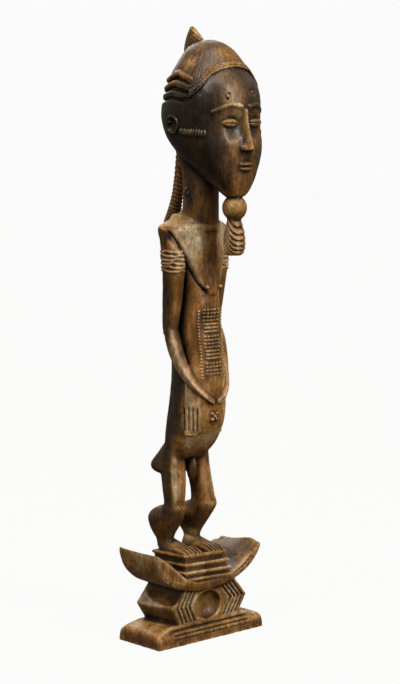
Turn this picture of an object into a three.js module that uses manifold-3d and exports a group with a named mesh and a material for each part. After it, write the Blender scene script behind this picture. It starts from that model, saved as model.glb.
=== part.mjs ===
// Standing ancestor figure on a stool, carved from one block of wood.
// Millimetres, +Z up. The figure faces -Y and its right side is at -X.
// The origin is the middle of the base plate's underside.

import * as THREE from 'three';
import { mergeVertices } from 'three/addons/utils/BufferGeometryUtils.js';
import Module from 'manifold-3d';

const wasm = await Module();
wasm.setup();

// Base plate
const PLATE = { halfLength: 58.6, halfDepth: 25.8, corner: 3.4, shoulder: 8.5, height: 15.5 };
const PLATE_STEP = { halfLength: 39, halfDepth: 23.6, low: 9.2, high: 12.4, depth: 2.2 };

// Hexagonal column between plate and seat
const COLUMN = { footX: 34, ridgeX: 44, topX: 30, footZ: 14, ridgeZ: 29.5, topZ: 46, halfDepth: 20 };
const HOLLOW = { radiusX: 15, radiusZ: 12, depth: 9, z: 27.6 };
const CHEVRON = { count: 3, spacing: 6.6, width: 2.6, depth: 1.8 };
const SCOOP = { x: 47, y: -12, z: 45, radiusX: 12, radiusY: 24, radiusZ: 16 };

// Crescent seat, its right tip (at -X) a little higher than its left one
const SEAT = { halfLength: 57.2, drop: 31.5, centreZ: 72, front: -23, back: 25.2, rim: 3, fullness: 2.15, steps: 14 };
const SEAT_TOP = { lowZ: 51, rightTipZ: 76, leftTipZ: 72 };

// Stepped block under the feet
const BLOCK = { halfWidth: 23.4, front: -18.6, back: 22.8, topZ: 70.6, lean: 0.035, grow: 1.25 };
const BLOCK_TIERS = [65.2, 58.2, 52.4, 46.5];

// Feet and toes
const FOOT = { x: 13.6, halfWidth: 9.4, heelY: 19.5, toeY: -16.5, height: 6.5 };
const TOE = { count: 5, length: 5.4, height: 2.4 };

// Leg sections from the ground up: height, middle in X and Y, half width, half depth, squareness
const LEG = [
  { z: 68, x: 14.6, y: 16.4, a: 7.6, b: 8, n: 2.2 },
  { z: 78, x: 14.8, y: 16.2, a: 7, b: 7.8, n: 2.2 },
  { z: 85, x: 15.1, y: 15.4, a: 7.8, b: 9, n: 2.3 },
  { z: 94, x: 15.4, y: 11.8, a: 9, b: 12, n: 2.4 },
  { z: 102, x: 15.7, y: 7, a: 9, b: 13, n: 2.5 },
  { z: 107.5, x: 15.9, y: 3.4, a: 8.8, b: 12.2, n: 2.6 },
  { z: 112, x: 15.9, y: 3, a: 8.2, b: 10.6, n: 2.6 },
  { z: 121, x: 15.9, y: 4.6, a: 7.8, b: 10.2, n: 2.6 },
  { z: 133, x: 15.2, y: 7.4, a: 8, b: 10.6, n: 2.6 },
  { z: 148, x: 13.4, y: 9.8, a: 8.8, b: 11.6, n: 2.6 },
  { z: 160, x: 11, y: 8, a: 10, b: 12, n: 2.4 },
];
const CALF = [
  { z: 73, y: 16.4, a: 6.4, b: 7.4 },
  { z: 80, y: 16.8, a: 7, b: 8.2 },
  { z: 85, y: 17.4, a: 8.6, b: 10.4 },
  { z: 91, y: 17.4, a: 10.2, b: 14 },
  { z: 97, y: 16.9, a: 10.9, b: 15.8 },
  { z: 102, y: 15.6, a: 10.2, b: 14 },
  { z: 106, y: 14, a: 7.6, b: 9.6 },
  { z: 109, y: 12, a: 4, b: 5 },
];
const LEG_SIDES = 10;

// Buttocks, loins and belly
const BUTTOCK = { x: 11.6, y: 17.8, z: 143, radiusX: 12.8, radiusY: 14.6, radiusZ: 14.6 };
const PENDANT = { y: -0.4, z: 140, radiusX: 4.4, radiusY: 4.8, radiusZ: 11 };
const TRUNK = [
  { z: 147, y: 8, a: 15, b: 8.6, n: 2.4 },
  { z: 151, y: 6.4, a: 18.4, b: 12, n: 2.5 },
  { z: 160, y: 2, a: 21.4, b: 16.4, n: 2.6 },
  { z: 170, y: -1.6, a: 21, b: 20.2, n: 2.7 },
  { z: 180, y: -4.6, a: 20.5, b: 22.2, n: 2.7 },
  { z: 192, y: -6.8, a: 19.8, b: 22.3, n: 2.7 },
  { z: 206, y: -7.8, a: 19.2, b: 21.6, n: 2.7 },
  { z: 222, y: -7.8, a: 18.4, b: 20.8, n: 2.8 },
  { z: 240, y: -6.6, a: 17, b: 20.4, n: 2.9 },
  { z: 262, y: -5, a: 16.2, b: 19.5, n: 2.9 },
  { z: 280, y: -4.8, a: 17.4, b: 20.6, n: 2.8 },
  { z: 300, y: -3.6, a: 20, b: 20.2, n: 2.6 },
  { z: 318, y: -1, a: 24, b: 18.4, n: 2.5 },
  { z: 332, y: 1.6, a: 26, b: 16, n: 2.4 },
  { z: 340, y: 2.6, a: 22, b: 12, n: 2.3 },
  { z: 345, y: 1.6, a: 15, b: 7, n: 2.2 },
];
const TRUNK_SIDES = 20;
const CHEST = [
  { z: 283, y: -18, a: 6.6, b: 6.4, n: 2.2 },
  { z: 288, y: -18.4, a: 9.4, b: 8.6, n: 2.4 },
  { z: 300, y: -16, a: 14.6, b: 11, n: 2.2 },
  { z: 316, y: -11, a: 22.8, b: 15.8, n: 1.8 },
  { z: 330, y: -8, a: 30, b: 18.6, n: 1.5 },
  { z: 337, y: -7, a: 32.4, b: 19.6, n: 1.4 },
  { z: 342, y: -7, a: 28, b: 19.4, n: 1.4 },
  { z: 350, y: -9.6, a: 15.6, b: 16.6, n: 1.9 },
];
const SHOULDERS = [
  { z: 316, y: -3.2, a: 27, b: 9.6, n: 2.3 },
  { z: 328, y: -2.4, a: 33, b: 11.8, n: 2.4 },
  { z: 336, y: -2, a: 35.2, b: 12.4, n: 2.4 },
  { z: 340.5, y: -1.8, a: 34.4, b: 11.6, n: 2.4 },
  { z: 344, y: -2, a: 27.6, b: 10.8, n: 2.3 },
  { z: 348, y: -2.8, a: 19, b: 10, n: 2.2 },
  { z: 352, y: -4.4, a: 13, b: 9, n: 2 },
];

// Arms: middle line and half sizes from shoulder to hand
const UPPER_ARM = [
  { z: 338, x: 26, y: -2.6, a: 7, b: 9 },
  { z: 326, x: 25, y: -3.6, a: 7, b: 10 },
  { z: 310, x: 23.8, y: -4.6, a: 6.6, b: 10.6 },
  { z: 295, x: 23.2, y: -3.6, a: 6.2, b: 9.8 },
  { z: 278, x: 22.8, y: -1.8, a: 6, b: 8.6 },
  { z: 262, x: 22.8, y: 0, a: 5.8, b: 7 },
  { z: 253, x: 23.6, y: -0.6, a: 5.2, b: 6 },
];
const FOREARM = [
  { x: 22.6, y: 1.4, z: 261, a: 5.6, b: 6 },
  { x: 24, y: -4.4, z: 248, a: 6.8, b: 7 },
  { x: 23.2, y: -10, z: 234, a: 6.8, b: 6.6 },
  { x: 20.4, y: -15.4, z: 222, a: 5.8, b: 5.6 },
  { x: 15.6, y: -23, z: 210, a: 4.2, b: 4.4 },
  { x: 9.5, y: -28.2, z: 202.6, a: 4.2, b: 4.2 },
  { x: 3.4, y: -29.6, z: 199, a: 3.8, b: 3.4 },
];
const ARM_SIDES = 8;

// Raised scars and flutes
const ARM_SCARS = { rows: 6, low: 300.5, high: 318, radius: 1.5 };
const LADDER = { halfWidth: 6.8, low: 215, high: 270, rows: 13, ridge: 1.15 };
const FLUTES = { low: 173.5, high: 194, radius: 1.25, angles: [203, 213, 222] };
const NIPPLE = { x: 7, y: -26.6, z: 292.5, radius: 2.3 };
const NAVEL = { y: -28.2, z: 184.6, radius: 3.1 };

// Neck and head
const NECK = [
  { z: 338, y: -10.4, a: 15, b: 16 },
  { z: 350, y: -11, a: 14.4, b: 15.4 },
  { z: 366, y: -11.4, a: 14, b: 15.2 },
  { z: 384, y: -10.8, a: 15, b: 15.4 },
  { z: 400, y: -9, a: 19, b: 17 },
  { z: 410, y: -10, a: 22, b: 20 },
];
const HEAD = [
  { z: 364, y: -50, a: 5, b: 4.6, n: 2, taper: 0 },
  { z: 367.5, y: -50.2, a: 10, b: 9.4, n: 2.2, taper: 0.1 },
  { z: 376, y: -45.6, a: 16.4, b: 16.8, n: 2.3, taper: 0.16 },
  { z: 387, y: -38.8, a: 23, b: 25, n: 2.3, taper: 0.2 },
  { z: 398, y: -31.2, a: 29.4, b: 33.2, n: 2.3, taper: 0.18 },
  { z: 408, y: -26.8, a: 33, b: 38, n: 2.3, taper: 0.1 },
  { z: 418, y: -23.8, a: 34.6, b: 39.6, n: 2.3, taper: 0.03 },
  { z: 430, y: -22.8, a: 35.6, b: 40.4, n: 2.3, taper: 0 },
  { z: 442, y: -24, a: 35.2, b: 39.4, n: 2.3, taper: 0 },
  { z: 453, y: -24.2, a: 32.6, b: 36.4, n: 2.3, taper: 0 },
  { z: 463, y: -23.4, a: 27.8, b: 30.6, n: 2.2, taper: 0 },
  { z: 472, y: -22.6, a: 22.8, b: 25, n: 2.1, taper: 0 },
  { z: 480, y: -21.6, a: 17.2, b: 19.4, n: 2, taper: 0 },
  { z: 485, y: -20.6, a: 10.6, b: 12.4, n: 2, taper: 0 },
  { z: 487.6, y: -20, a: 4, b: 5, n: 2, taper: 0 },
];
const HEAD_SIDES = 20;

// A plain carved face: arched brows that run into a slim nose, almond eyes and a small mouth
const BROW = { z: 434, arch: 5, innerX: 3.6, outerX: 26, radius: 1.7 };
const NOSE = { topZ: 433, tipZ: 402, width: 3, tipWidth: 6.2, rise: 7.4 };
const EYE = { x: 13, z: 424.5, halfWidth: 7.4, halfHeight: 3.4, rise: 1.8 };
const MOUTH = { z: 389, halfWidth: 6.8, lip: 1.7, rise: 2.2 };
const EAR = { y: -20.5, z: 421.5, radius: 5.8, tube: 1.6 };

// Hair: cap line, rolls at the back, crest, plaits and beard
const CAP_LINE = { frontZ: 462, sideZ: 441, radius: 2, steps: 16 };
const CAP_RISE = 1.2;
const ROLLS = { heights: [460.6, 452.4, 444.4], radius: 4, reach: 96, steps: 8 };
const CREST = [
  { z: 458, back: 6, front: -12, width: 4.6 },
  { z: 474, back: 8.2, front: -22, width: 4.6 },
  { z: 482, back: 8.2, front: -20, width: 4.2 },
  { z: 487, back: 7.2, front: -16, width: 3.6 },
  { z: 492, back: 5.6, front: -12, width: 2.8 },
  { z: 497, back: 2.8, front: -6.4, width: 1.9 },
  { z: 500, back: 0.9, front: -1.9, width: 1 },
];
const PLAIT = [
  { x: 0, y: 10, z: 408, a: 3.4, b: 3.2 },
  { x: 0, y: 12.4, z: 400, a: 3.8, b: 3.4 },
  { x: 0, y: 14.5, z: 380, a: 4, b: 3.6 },
  { x: 0, y: 17, z: 364, a: 4.6, b: 3.9 },
  { x: 0, y: 21, z: 350, a: 6.2, b: 4.4 },
  { x: 0, y: 24.4, z: 340, a: 7.4, b: 4.8 },
  { x: 0, y: 22.4, z: 331, a: 6.8, b: 4.8 },
  { x: 0, y: 17.4, z: 323, a: 4.6, b: 4 },
];
const PLAIT_TURNS = 8;
const BEARD_KNOB = { y: -51, z: 356.6, radiusX: 9.9, radiusY: 9.9, radiusZ: 10.6 };
const BEARD = [
  { z: 354, y: -50.4, a: 7.6, b: 7 },
  { z: 346, y: -50.6, a: 7.6, b: 6.8 },
  { z: 332, y: -50.6, a: 7.4, b: 6.4 },
  { z: 319, y: -50.4, a: 6.6, b: 5.6 },
];
const BEARD_TURNS = 5;

const WOOD = { color: 0x4a3220, roughness: 0.42, metalness: 0 };

// Reads one value of a list of stations at a place between two of them, on a smooth curve.
function smooth(stations, key, place) {
  const last = stations.length - 1;
  const index = Math.min(Math.floor(place), last - 1);
  const t = place - index;
  const at = (i) => stations[Math.min(Math.max(i, 0), last)][key] ?? 0;
  const [p0, p1, p2, p3] = [at(index - 1), at(index), at(index + 1), at(index + 2)];
  const rise = (p2 - p0) / 2;
  const fall = (p3 - p1) / 2;
  const t2 = t * t;
  const t3 = t2 * t;
  return (2 * t3 - 3 * t2 + 1) * p1 + (t3 - 2 * t2 + t) * rise + (3 * t2 - 2 * t3) * p2 + (t3 - t2) * fall;
}

// Fills in a list of stations, with several steps from each station to the next.
function refine(stations, steps) {
  const keys = Object.keys(stations[0]);
  const total = (stations.length - 1) * steps;
  const filled = [];
  for (let i = 0; i <= total; i += 1) {
    const entries = keys.map((key) => [key, smooth(stations, key, i / steps)]);
    filled.push(Object.fromEntries(entries));
  }
  return filled;
}

// One point of a superellipse with half sizes a and b.
function sectionPoint(angle, a, b, n = 2, taper = 0) {
  const c = Math.cos(angle);
  const s = Math.sin(angle);
  const across = a * Math.sign(c) * Math.abs(c) ** (2 / n) * (1 - taper * s);
  const along = b * Math.sign(s) * Math.abs(s) ** (2 / n);
  return [across, along];
}

// Closes a stack of rings, which all have the same number of points, into a solid's surface.
function skin(rings) {
  const sides = rings[0].length;
  const points = rings.flat();
  const middle = (ring) => ring.reduce((sum, p) => sum.add(p), new THREE.Vector3()).divideScalar(sides);
  const bottom = points.push(middle(rings[0])) - 1;
  const top = points.push(middle(rings[rings.length - 1])) - 1;
  const faces = [];
  const lastRow = (rings.length - 1) * sides;
  for (let j = 0; j < sides; j += 1) {
    const next = (j + 1) % sides;
    faces.push(bottom, next, j, top, lastRow + j, lastRow + next);
    for (let i = 0; i + 1 < rings.length; i += 1) {
      const low = i * sides;
      const high = low + sides;
      faces.push(low + j, low + next, high + next, low + j, high + next, high + j);
    }
  }
  const geometry = new THREE.BufferGeometry().setFromPoints(points);
  geometry.setIndex(faces);
  return geometry;
}

// Turns a closed surface into a solid, with its faces pointing out.
function solid(geometry) {
  geometry.deleteAttribute('normal');
  geometry.deleteAttribute('uv');
  const merged = mergeVertices(geometry, 1e-4);
  const vertProperties = Float32Array.from(merged.attributes.position.array);
  const triVerts = Uint32Array.from(merged.index.array);
  const corner = (i) => new THREE.Vector3().fromArray(vertProperties, 3 * triVerts[i]);
  let volume = 0;
  for (let i = 0; i < triVerts.length; i += 3) {
    volume += corner(i).dot(corner(i + 1).cross(corner(i + 2)));
  }
  if (volume < 0) {
    triVerts.reverse();
  }
  return new wasm.Manifold(new wasm.Mesh({ numProp: 3, vertProperties, triVerts }));
}

// A solid through level sections, mirrored to the side at -X when side is -1.
function loft(stations, sides, side = 1) {
  const rings = stations.map((s) => {
    const ring = [];
    for (let j = 0; j < sides; j += 1) {
      const [dx, dy] = sectionPoint((j / sides) * 2 * Math.PI, s.a, s.b, s.n, s.taper);
      ring.push(new THREE.Vector3(side * ((s.x ?? 0) + dx), s.y + dy, s.z));
    }
    return ring;
  });
  return solid(skin(rings));
}

// A solid that follows a bent line; swell changes its size by place along it and round it.
function sweep(stations, sides, side = 1, swell = () => 1) {
  const points = stations.map((s) => new THREE.Vector3(side * s.x, s.y, s.z));
  const curve = new THREE.CatmullRomCurve3(points);
  const count = points.length - 1;
  const rings = points.map((centre, i) => {
    const tangent = curve.getTangent(i / count);
    const along = new THREE.Vector3(0, -1, 0).addScaledVector(tangent, tangent.y).normalize();
    const across = new THREE.Vector3().crossVectors(tangent, along);
    const ring = [];
    for (let j = 0; j < sides; j += 1) {
      const angle = (j / sides) * 2 * Math.PI;
      const [da, db] = sectionPoint(angle, stations[i].a, stations[i].b);
      const size = swell(i / count, angle);
      ring.push(centre.clone().addScaledVector(across, da * size).addScaledVector(along, db * size));
    }
    return ring;
  });
  return solid(skin(rings));
}

// An egg shape, for knobs, muscles and hollows.
function egg(x, y, z, radiusX, radiusY, radiusZ, segments = 10) {
  const geometry = new THREE.SphereGeometry(1, segments, Math.max(4, Math.round(segments * 0.6)));
  geometry.rotateX(Math.PI / 2);
  geometry.scale(radiusX, radiusY, radiusZ);
  geometry.translate(x, y, z);
  return solid(geometry);
}

// A faceted ridge with pointed ends, for raised scars.
function lens(x, y, z, radiusX, radiusY, radiusZ) {
  const geometry = new THREE.OctahedronGeometry(1);
  geometry.scale(radiusX, radiusY, radiusZ);
  geometry.translate(x, y, z);
  return solid(geometry);
}

// A flat outline in X and Z, carried from one Y to another.
function slab(outline, front, back) {
  const shape = new THREE.Shape(outline.map(([x, z]) => new THREE.Vector2(x, z)));
  const geometry = new THREE.ExtrudeGeometry(shape, { depth: back - front, bevelEnabled: false });
  geometry.rotateX(Math.PI / 2);
  geometry.translate(0, back, 0);
  return solid(geometry);
}

// A box between two corners.
function box(low, high) {
  const size = high.map((value, i) => value - low[i]);
  const geometry = new THREE.BoxGeometry(...size);
  geometry.translate(...low.map((value, i) => value + size[i] / 2));
  return solid(geometry);
}

// Joins many solids into one.
function join(solids) {
  return solids.reduce((whole, one) => whole.add(one));
}

// Cuts many solids from one.
function carve(body, cuts) {
  return cuts.reduce((left, one) => left.subtract(one), body);
}

// The same feature on the figure's left and right.
function bothSides(make) {
  return [make(1), make(-1)];
}

// One ring of a rectangle with rounded corners.
function roundedRing(halfX, halfY, radius, z, perCorner = 4) {
  const ring = [];
  for (let corner = 0; corner < 4; corner += 1) {
    const middle = (corner + 0.5) * (Math.PI / 2);
    const cx = Math.sign(Math.cos(middle)) * (halfX - radius);
    const cy = Math.sign(Math.sin(middle)) * (halfY - radius);
    for (let i = 0; i < perCorner; i += 1) {
      const angle = (corner + i / (perCorner - 1)) * (Math.PI / 2);
      ring.push(new THREE.Vector3(cx + radius * Math.cos(angle), cy + radius * Math.sin(angle), z));
    }
  }
  return ring;
}

function plate() {
  const { halfLength, halfDepth, corner, shoulder, height } = PLATE;
  const rows = [
    { z: 0, x: 0, y: 0 },
    { z: shoulder * 0.5, x: 0, y: 0.2 },
    { z: shoulder, x: 0.8, y: 1 },
    { z: shoulder + 3, x: 3, y: 3.6 },
    { z: height - 2, x: 8.4, y: 4.8 },
    { z: height, x: 17, y: 5.6 },
  ];
  const rings = rows.map((row) => (
    roundedRing(halfLength - row.x, halfDepth - row.y, corner, row.z)
  ));
  const step = PLATE_STEP;
  const grooves = [-1, 1].flatMap((face) => [step.low, step.high].map((z, level) => {
    const outer = face * (halfDepth + 2);
    const inner = face * (step.halfDepth - step.depth - level * 1.4);
    const low = [-step.halfLength, Math.min(outer, inner), z];
    const high = [step.halfLength, Math.max(outer, inner), z + 1.5];
    return box(low, high);
  }));
  return carve(solid(skin(rings)), grooves);
}

function columnOutline(inset) {
  const { footX, ridgeX, topX, footZ, ridgeZ, topZ } = COLUMN;
  return [[footX - inset, footZ], [ridgeX - inset * 1.18, ridgeZ], [topX - inset, topZ]];
}

function column() {
  const right = columnOutline(0);
  const left = right.map(([x, z]) => [-x, z]).reverse();
  const body = slab([...right, ...left], -COLUMN.halfDepth, COLUMN.halfDepth);
  const cuts = [];
  [-1, 1].forEach((face) => {
    const y = face * COLUMN.halfDepth;
    cuts.push(egg(0, y, HOLLOW.z, HOLLOW.radiusX, HOLLOW.depth, HOLLOW.radiusZ, 12));
    bothSides((side) => {
      for (let i = 0; i < CHEVRON.count; i += 1) {
        const outer = columnOutline(CHEVRON.spacing * (i + 0.55));
        const inner = columnOutline(CHEVRON.spacing * (i + 0.55) + CHEVRON.width).reverse();
        const outline = [...outer, ...inner].map(([x, z]) => [side * x, z]);
        cuts.push(slab(outline, y - CHEVRON.depth, y + CHEVRON.depth));
      }
    });
  });
  const scoops = bothSides((side) => (
    egg(side * SCOOP.x, SCOOP.y, SCOOP.z, SCOOP.radiusX, SCOOP.radiusY, SCOOP.radiusZ, 9)
  ));
  return carve(body, [...cuts, ...scoops]);
}

function seat() {
  const { halfLength, drop, centreZ, front, back, rim, fullness, steps } = SEAT;
  const outline = [];
  for (let i = 0; i <= steps; i += 1) {
    const angle = Math.PI * (1 + i / steps);
    const [x, fall] = sectionPoint(angle, halfLength, drop, fullness);
    outline.push([x, centreZ + fall]);
  }
  const innerLength = halfLength - rim;
  outline.push([halfLength - 0.4, SEAT_TOP.leftTipZ]);
  for (let i = 0; i <= steps; i += 1) {
    const x = innerLength * (1 - (2 * i) / steps);
    const tip = x > 0 ? SEAT_TOP.leftTipZ : SEAT_TOP.rightTipZ;
    const share = (x / innerLength) ** 2;
    outline.push([x, SEAT_TOP.lowZ + (tip - SEAT_TOP.lowZ) * share]);
  }
  outline.push([-halfLength + 0.4, SEAT_TOP.rightTipZ]);
  return slab(outline, front, back);
}

function block() {
  const { halfWidth, front, back, topZ, lean, grow } = BLOCK;
  const tiers = BLOCK_TIERS.map((low, level) => {
    const wider = grow * level;
    const high = level === 0 ? topZ : BLOCK_TIERS[level - 1];
    const tierFront = Math.max(front - wider, SEAT.front + 0.4);
    const geometry = new THREE.BoxGeometry(2 * (halfWidth + wider), back - tierFront + wider, high - low + 1);
    geometry.translate(0, (tierFront + back + wider) / 2, (high + low - 1) / 2);
    const places = geometry.attributes.position;
    for (let i = 0; i < places.count; i += 1) {
      const tilt = -lean * (places.getX(i) + places.getY(i));
      places.setZ(i, places.getZ(i) + tilt);
    }
    return solid(geometry);
  });
  return join(tiers);
}

function foot(side) {
  const { x, halfWidth, heelY, toeY, height } = FOOT;
  const ground = BLOCK.topZ - 2.5;
  const length = heelY - toeY;
  const stations = [0, 0.12, 0.35, 0.6, 0.85, 1].map((share) => {
    const y = heelY - length * share;
    const rise = height * (1 - 0.62 * share);
    const round = share === 0 || share === 1 ? 0.72 : 1;
    return { x, y, z: ground, a: halfWidth * round * (0.82 + 0.18 * share), b: rise + 2.5 };
  });
  const sides = 9;
  const rings = stations.map((s) => {
    const ring = [];
    for (let j = 0; j < sides; j += 1) {
      const [dx, dz] = sectionPoint((j / (sides - 1)) * Math.PI, s.a, s.b, 2.6);
      ring.push(new THREE.Vector3(side * (s.x + dx), s.y, s.z + dz));
    }
    return ring;
  });
  const toes = [];
  for (let i = 0; i < TOE.count; i += 1) {
    const share = (i + 0.5) / TOE.count;
    const toeX = side * (x - halfWidth + 2 * halfWidth * share);
    const width = (halfWidth / TOE.count) * 0.98;
    toes.push(egg(toeX, toeY + 2.2, BLOCK.topZ + 0.6, width, TOE.length, TOE.height, 5));
  }
  return join([solid(skin(rings)), ...toes]);
}

function leg(side) {
  const calf = CALF.map((s) => ({ ...s, x: 15.2, n: 2 }));
  return join([loft(LEG, LEG_SIDES, side), loft(calf, LEG_SIDES, side)]);
}

function loins() {
  const b = BUTTOCK;
  const p = PENDANT;
  return [
    ...bothSides((side) => egg(side * b.x, b.y, b.z, b.radiusX, b.radiusY, b.radiusZ, 12)),
    egg(0, p.y, p.z, p.radiusX, p.radiusY, p.radiusZ, 10),
  ];
}

function trunk() {
  return join([
    loft(TRUNK, TRUNK_SIDES),
    loft(CHEST, 16),
    loft(SHOULDERS, 20),
  ]);
}

function arm(side) {
  return join([
    loft(UPPER_ARM, ARM_SIDES, side),
    sweep(FOREARM, ARM_SIDES, side),
  ]);
}

// The trunk's section at a height, to set a feature on its surface.
function sectionAt(stations, z) {
  let index = 0;
  while (index + 2 < stations.length && stations[index + 1].z < z) {
    index += 1;
  }
  const low = stations[index];
  const high = stations[index + 1];
  const t = (z - low.z) / (high.z - low.z);
  const keys = Object.keys(low);
  return Object.fromEntries(keys.map((key) => [key, low[key] + (high[key] - low[key]) * t]));
}

// Horizontal ridges on the outside and on the front of each upper arm.
function armScars(side) {
  const { rows, low, high, radius } = ARM_SCARS;
  const ridges = [];
  for (let i = 0; i < rows; i += 1) {
    const z = low + ((high - low) * i) / (rows - 1);
    const s = sectionAt(UPPER_ARM, z);
    ridges.push(lens(side * (s.x + s.a * 0.86), s.y + 3.2, z, 2, 6, radius));
    ridges.push(lens(side * (s.x + s.a * 0.34), s.y - s.b * 0.76, z, 5, 2.6, radius));
  }
  return ridges;
}

// A ladder of ridges down the belly.
function bellyScars() {
  const { halfWidth, low, high, rows, ridge } = LADDER;
  const marks = [];
  for (let i = 0; i < rows; i += 1) {
    const z = low + ((high - low) * (i + 0.5)) / rows;
    const s = sectionAt(TRUNK, z);
    const frontAt = (x) => s.y - s.b * (1 - Math.abs(x / s.a) ** s.n) ** (1 / s.n);
    marks.push(lens(0, frontAt(halfWidth * 0.6), z, halfWidth + 1, ridge + 0.7, ridge + 0.3));
  }
  return marks;
}

// Upright ridges on each hip.
function hipFlutes(side) {
  const { low, high, radius, angles } = FLUTES;
  return angles.map((degrees) => {
    const stations = [low, (low + high) / 2, high].map((z) => {
      const s = sectionAt(TRUNK, z);
      const [x, y] = sectionPoint((degrees / 180) * Math.PI, s.a, s.b, s.n);
      return { x: -x, y: s.y + y, z, a: radius, b: radius };
    });
    return sweep(stations, 6, side);
  });
}

function smallKnobs() {
  const n = NIPPLE;
  const knots = [-1, 0, 1].map((i) => egg(i * 2.6, NAVEL.y, NAVEL.z - Math.abs(i) * 1.6, 2, 2.4, 1.9, 5));
  return [
    ...bothSides((side) => egg(side * n.x, n.y, n.z, n.radius, n.radius, n.radius, 6)),
    ...knots,
  ];
}

// The front of the head at a place, a little inside its skin.
function headFront(x, z) {
  const s = sectionAt(HEAD, z);
  return s.y - s.b * (1 - Math.min(0.98, Math.abs(x / s.a) ** s.n)) ** (1 / s.n);
}

function brow(side) {
  const steps = 6;
  const stations = [];
  for (let i = 0; i <= steps; i += 1) {
    const share = i / steps;
    const x = BROW.innerX + (BROW.outerX - BROW.innerX) * share;
    const z = BROW.z + BROW.arch * Math.sin(Math.PI * (0.12 + 0.8 * share)) - 3 * share;
    const radius = BROW.radius * (1 - 0.5 * share);
    stations.push({ x, y: headFront(x, z) + 0.2, z, a: radius, b: radius });
  }
  return acrossSweep(stations, side);
}

// A round bar along points that run mainly sideways.
function acrossSweep(stations, side) {
  const points = stations.map((s) => new THREE.Vector3(side * s.x, s.y, s.z));
  const curve = new THREE.CatmullRomCurve3(points);
  const sides = 5;
  const rings = points.map((centre, i) => {
    const tangent = curve.getTangent(i / (points.length - 1));
    const up = new THREE.Vector3(0, 0, 1).addScaledVector(tangent, -tangent.z).normalize();
    const out = new THREE.Vector3().crossVectors(tangent, up);
    const ring = [];
    for (let j = 0; j < sides; j += 1) {
      const [da, db] = sectionPoint((j / sides) * 2 * Math.PI, stations[i].a, stations[i].b);
      ring.push(centre.clone().addScaledVector(up, da).addScaledVector(out, db));
    }
    return ring;
  });
  return solid(skin(rings));
}

function face() {
  const stations = [0, 0.25, 0.5, 0.75, 0.94, 1].map((share) => {
    const z = NOSE.topZ + (NOSE.tipZ - NOSE.topZ) * share;
    const rise = NOSE.rise * share ** 1.2 * (share === 1 ? 0.7 : 1);
    const width = NOSE.width + (NOSE.tipWidth - NOSE.width) * share ** 3;
    return { z, y: headFront(0, z) + 1, a: width, b: rise + 2.6, n: 1.8 };
  }).reverse();
  const eyes = bothSides((side) => (
    egg(side * EYE.x, headFront(EYE.x, EYE.z) + 0.4, EYE.z, EYE.halfWidth, EYE.rise + 1, EYE.halfHeight, 10)
  ));
  const lips = [-1, 1].map((way) => (
    egg(0, headFront(0, MOUTH.z) + 0.6, MOUTH.z + way * MOUTH.lip, MOUTH.halfWidth, MOUTH.rise, MOUTH.lip, 8)
  ));
  return [loft(stations, 10), ...eyes, ...lips, ...bothSides(brow)];
}

function ear(side) {
  const s = sectionAt(HEAD, EAR.z);
  const geometry = new THREE.TorusGeometry(EAR.radius, EAR.tube, 5, 10);
  geometry.rotateY(Math.PI / 2);
  geometry.scale(1, 0.92, 1.05);
  geometry.translate(side * (s.a - 0.3), EAR.y, EAR.z);
  return solid(geometry);
}

// Cap of hair: a shell a little proud of the head above the cap line, with the line as a rim.
function hair() {
  const rim = [];
  for (let i = 0; i <= CAP_LINE.steps; i += 1) {
    const angle = Math.PI * (1 + i / CAP_LINE.steps);
    const forward = Math.max(0, -Math.sin(angle));
    const z = CAP_LINE.sideZ + (CAP_LINE.frontZ - CAP_LINE.sideZ) * forward ** 0.7;
    const s = sectionAt(HEAD, z);
    const [x, y] = sectionPoint(angle, s.a, s.b, s.n);
    rim.push({ x, y: s.y + y, z, a: CAP_LINE.radius, b: CAP_LINE.radius });
  }
  const cap = HEAD.filter((s) => s.z > CAP_LINE.frontZ).map((s) => (
    { ...s, a: s.a + CAP_RISE, b: s.b + CAP_RISE, z: s.z + CAP_RISE * 0.5 }
  ));
  return [loft(cap, HEAD_SIDES), acrossSweep(rim, 1)];
}

// Rolls of hair, one above another round the back of the head.
function rolls() {
  const { heights, radius, reach, steps } = ROLLS;
  return heights.map((z) => {
    const s = sectionAt(HEAD, z);
    const stations = [];
    for (let i = 0; i <= steps; i += 1) {
      const share = i / steps;
      const angle = THREE.MathUtils.degToRad(90 - reach / 2 + reach * share + (share - 0.5) * reach * 0.5);
      const [x, y] = sectionPoint(angle, s.a - 1.6, s.b - 1.6, s.n);
      const size = radius * (0.35 + 0.65 * Math.sin(Math.PI * share) ** 0.4);
      const droop = -2.4 * Math.abs(2 * share - 1);
      stations.push({ x, y: s.y + y, z: z + droop, a: size, b: size });
    }
    return acrossSweep(stations, 1);
  });
}

function crest() {
  const rows = CREST.map((s) => (
    { z: s.z, y: (s.back + s.front) / 2, a: s.width, b: (s.back - s.front) / 2 }
  ));
  return loft(rows, 10);
}

function plait() {
  const turns = (share, angle) => 1 + 0.1 * Math.cos(2 * Math.PI * PLAIT_TURNS * share - angle);
  return sweep(refine(PLAIT, 4), 6, 1, turns);
}

function beard() {
  const k = BEARD_KNOB;
  const turns = (share, angle) => {
    const chevron = share * BEARD_TURNS + Math.abs(Math.cos(angle)) * 0.5;
    return 1 + 0.08 * Math.cos(2 * Math.PI * chevron);
  };
  const stations = BEARD.map((s) => ({ x: 0, ...s }));
  return [
    egg(0, k.y, k.z, k.radiusX, k.radiusY, k.radiusZ, 12),
    sweep(refine(stations, 6), 7, 1, turns),
  ];
}

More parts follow.
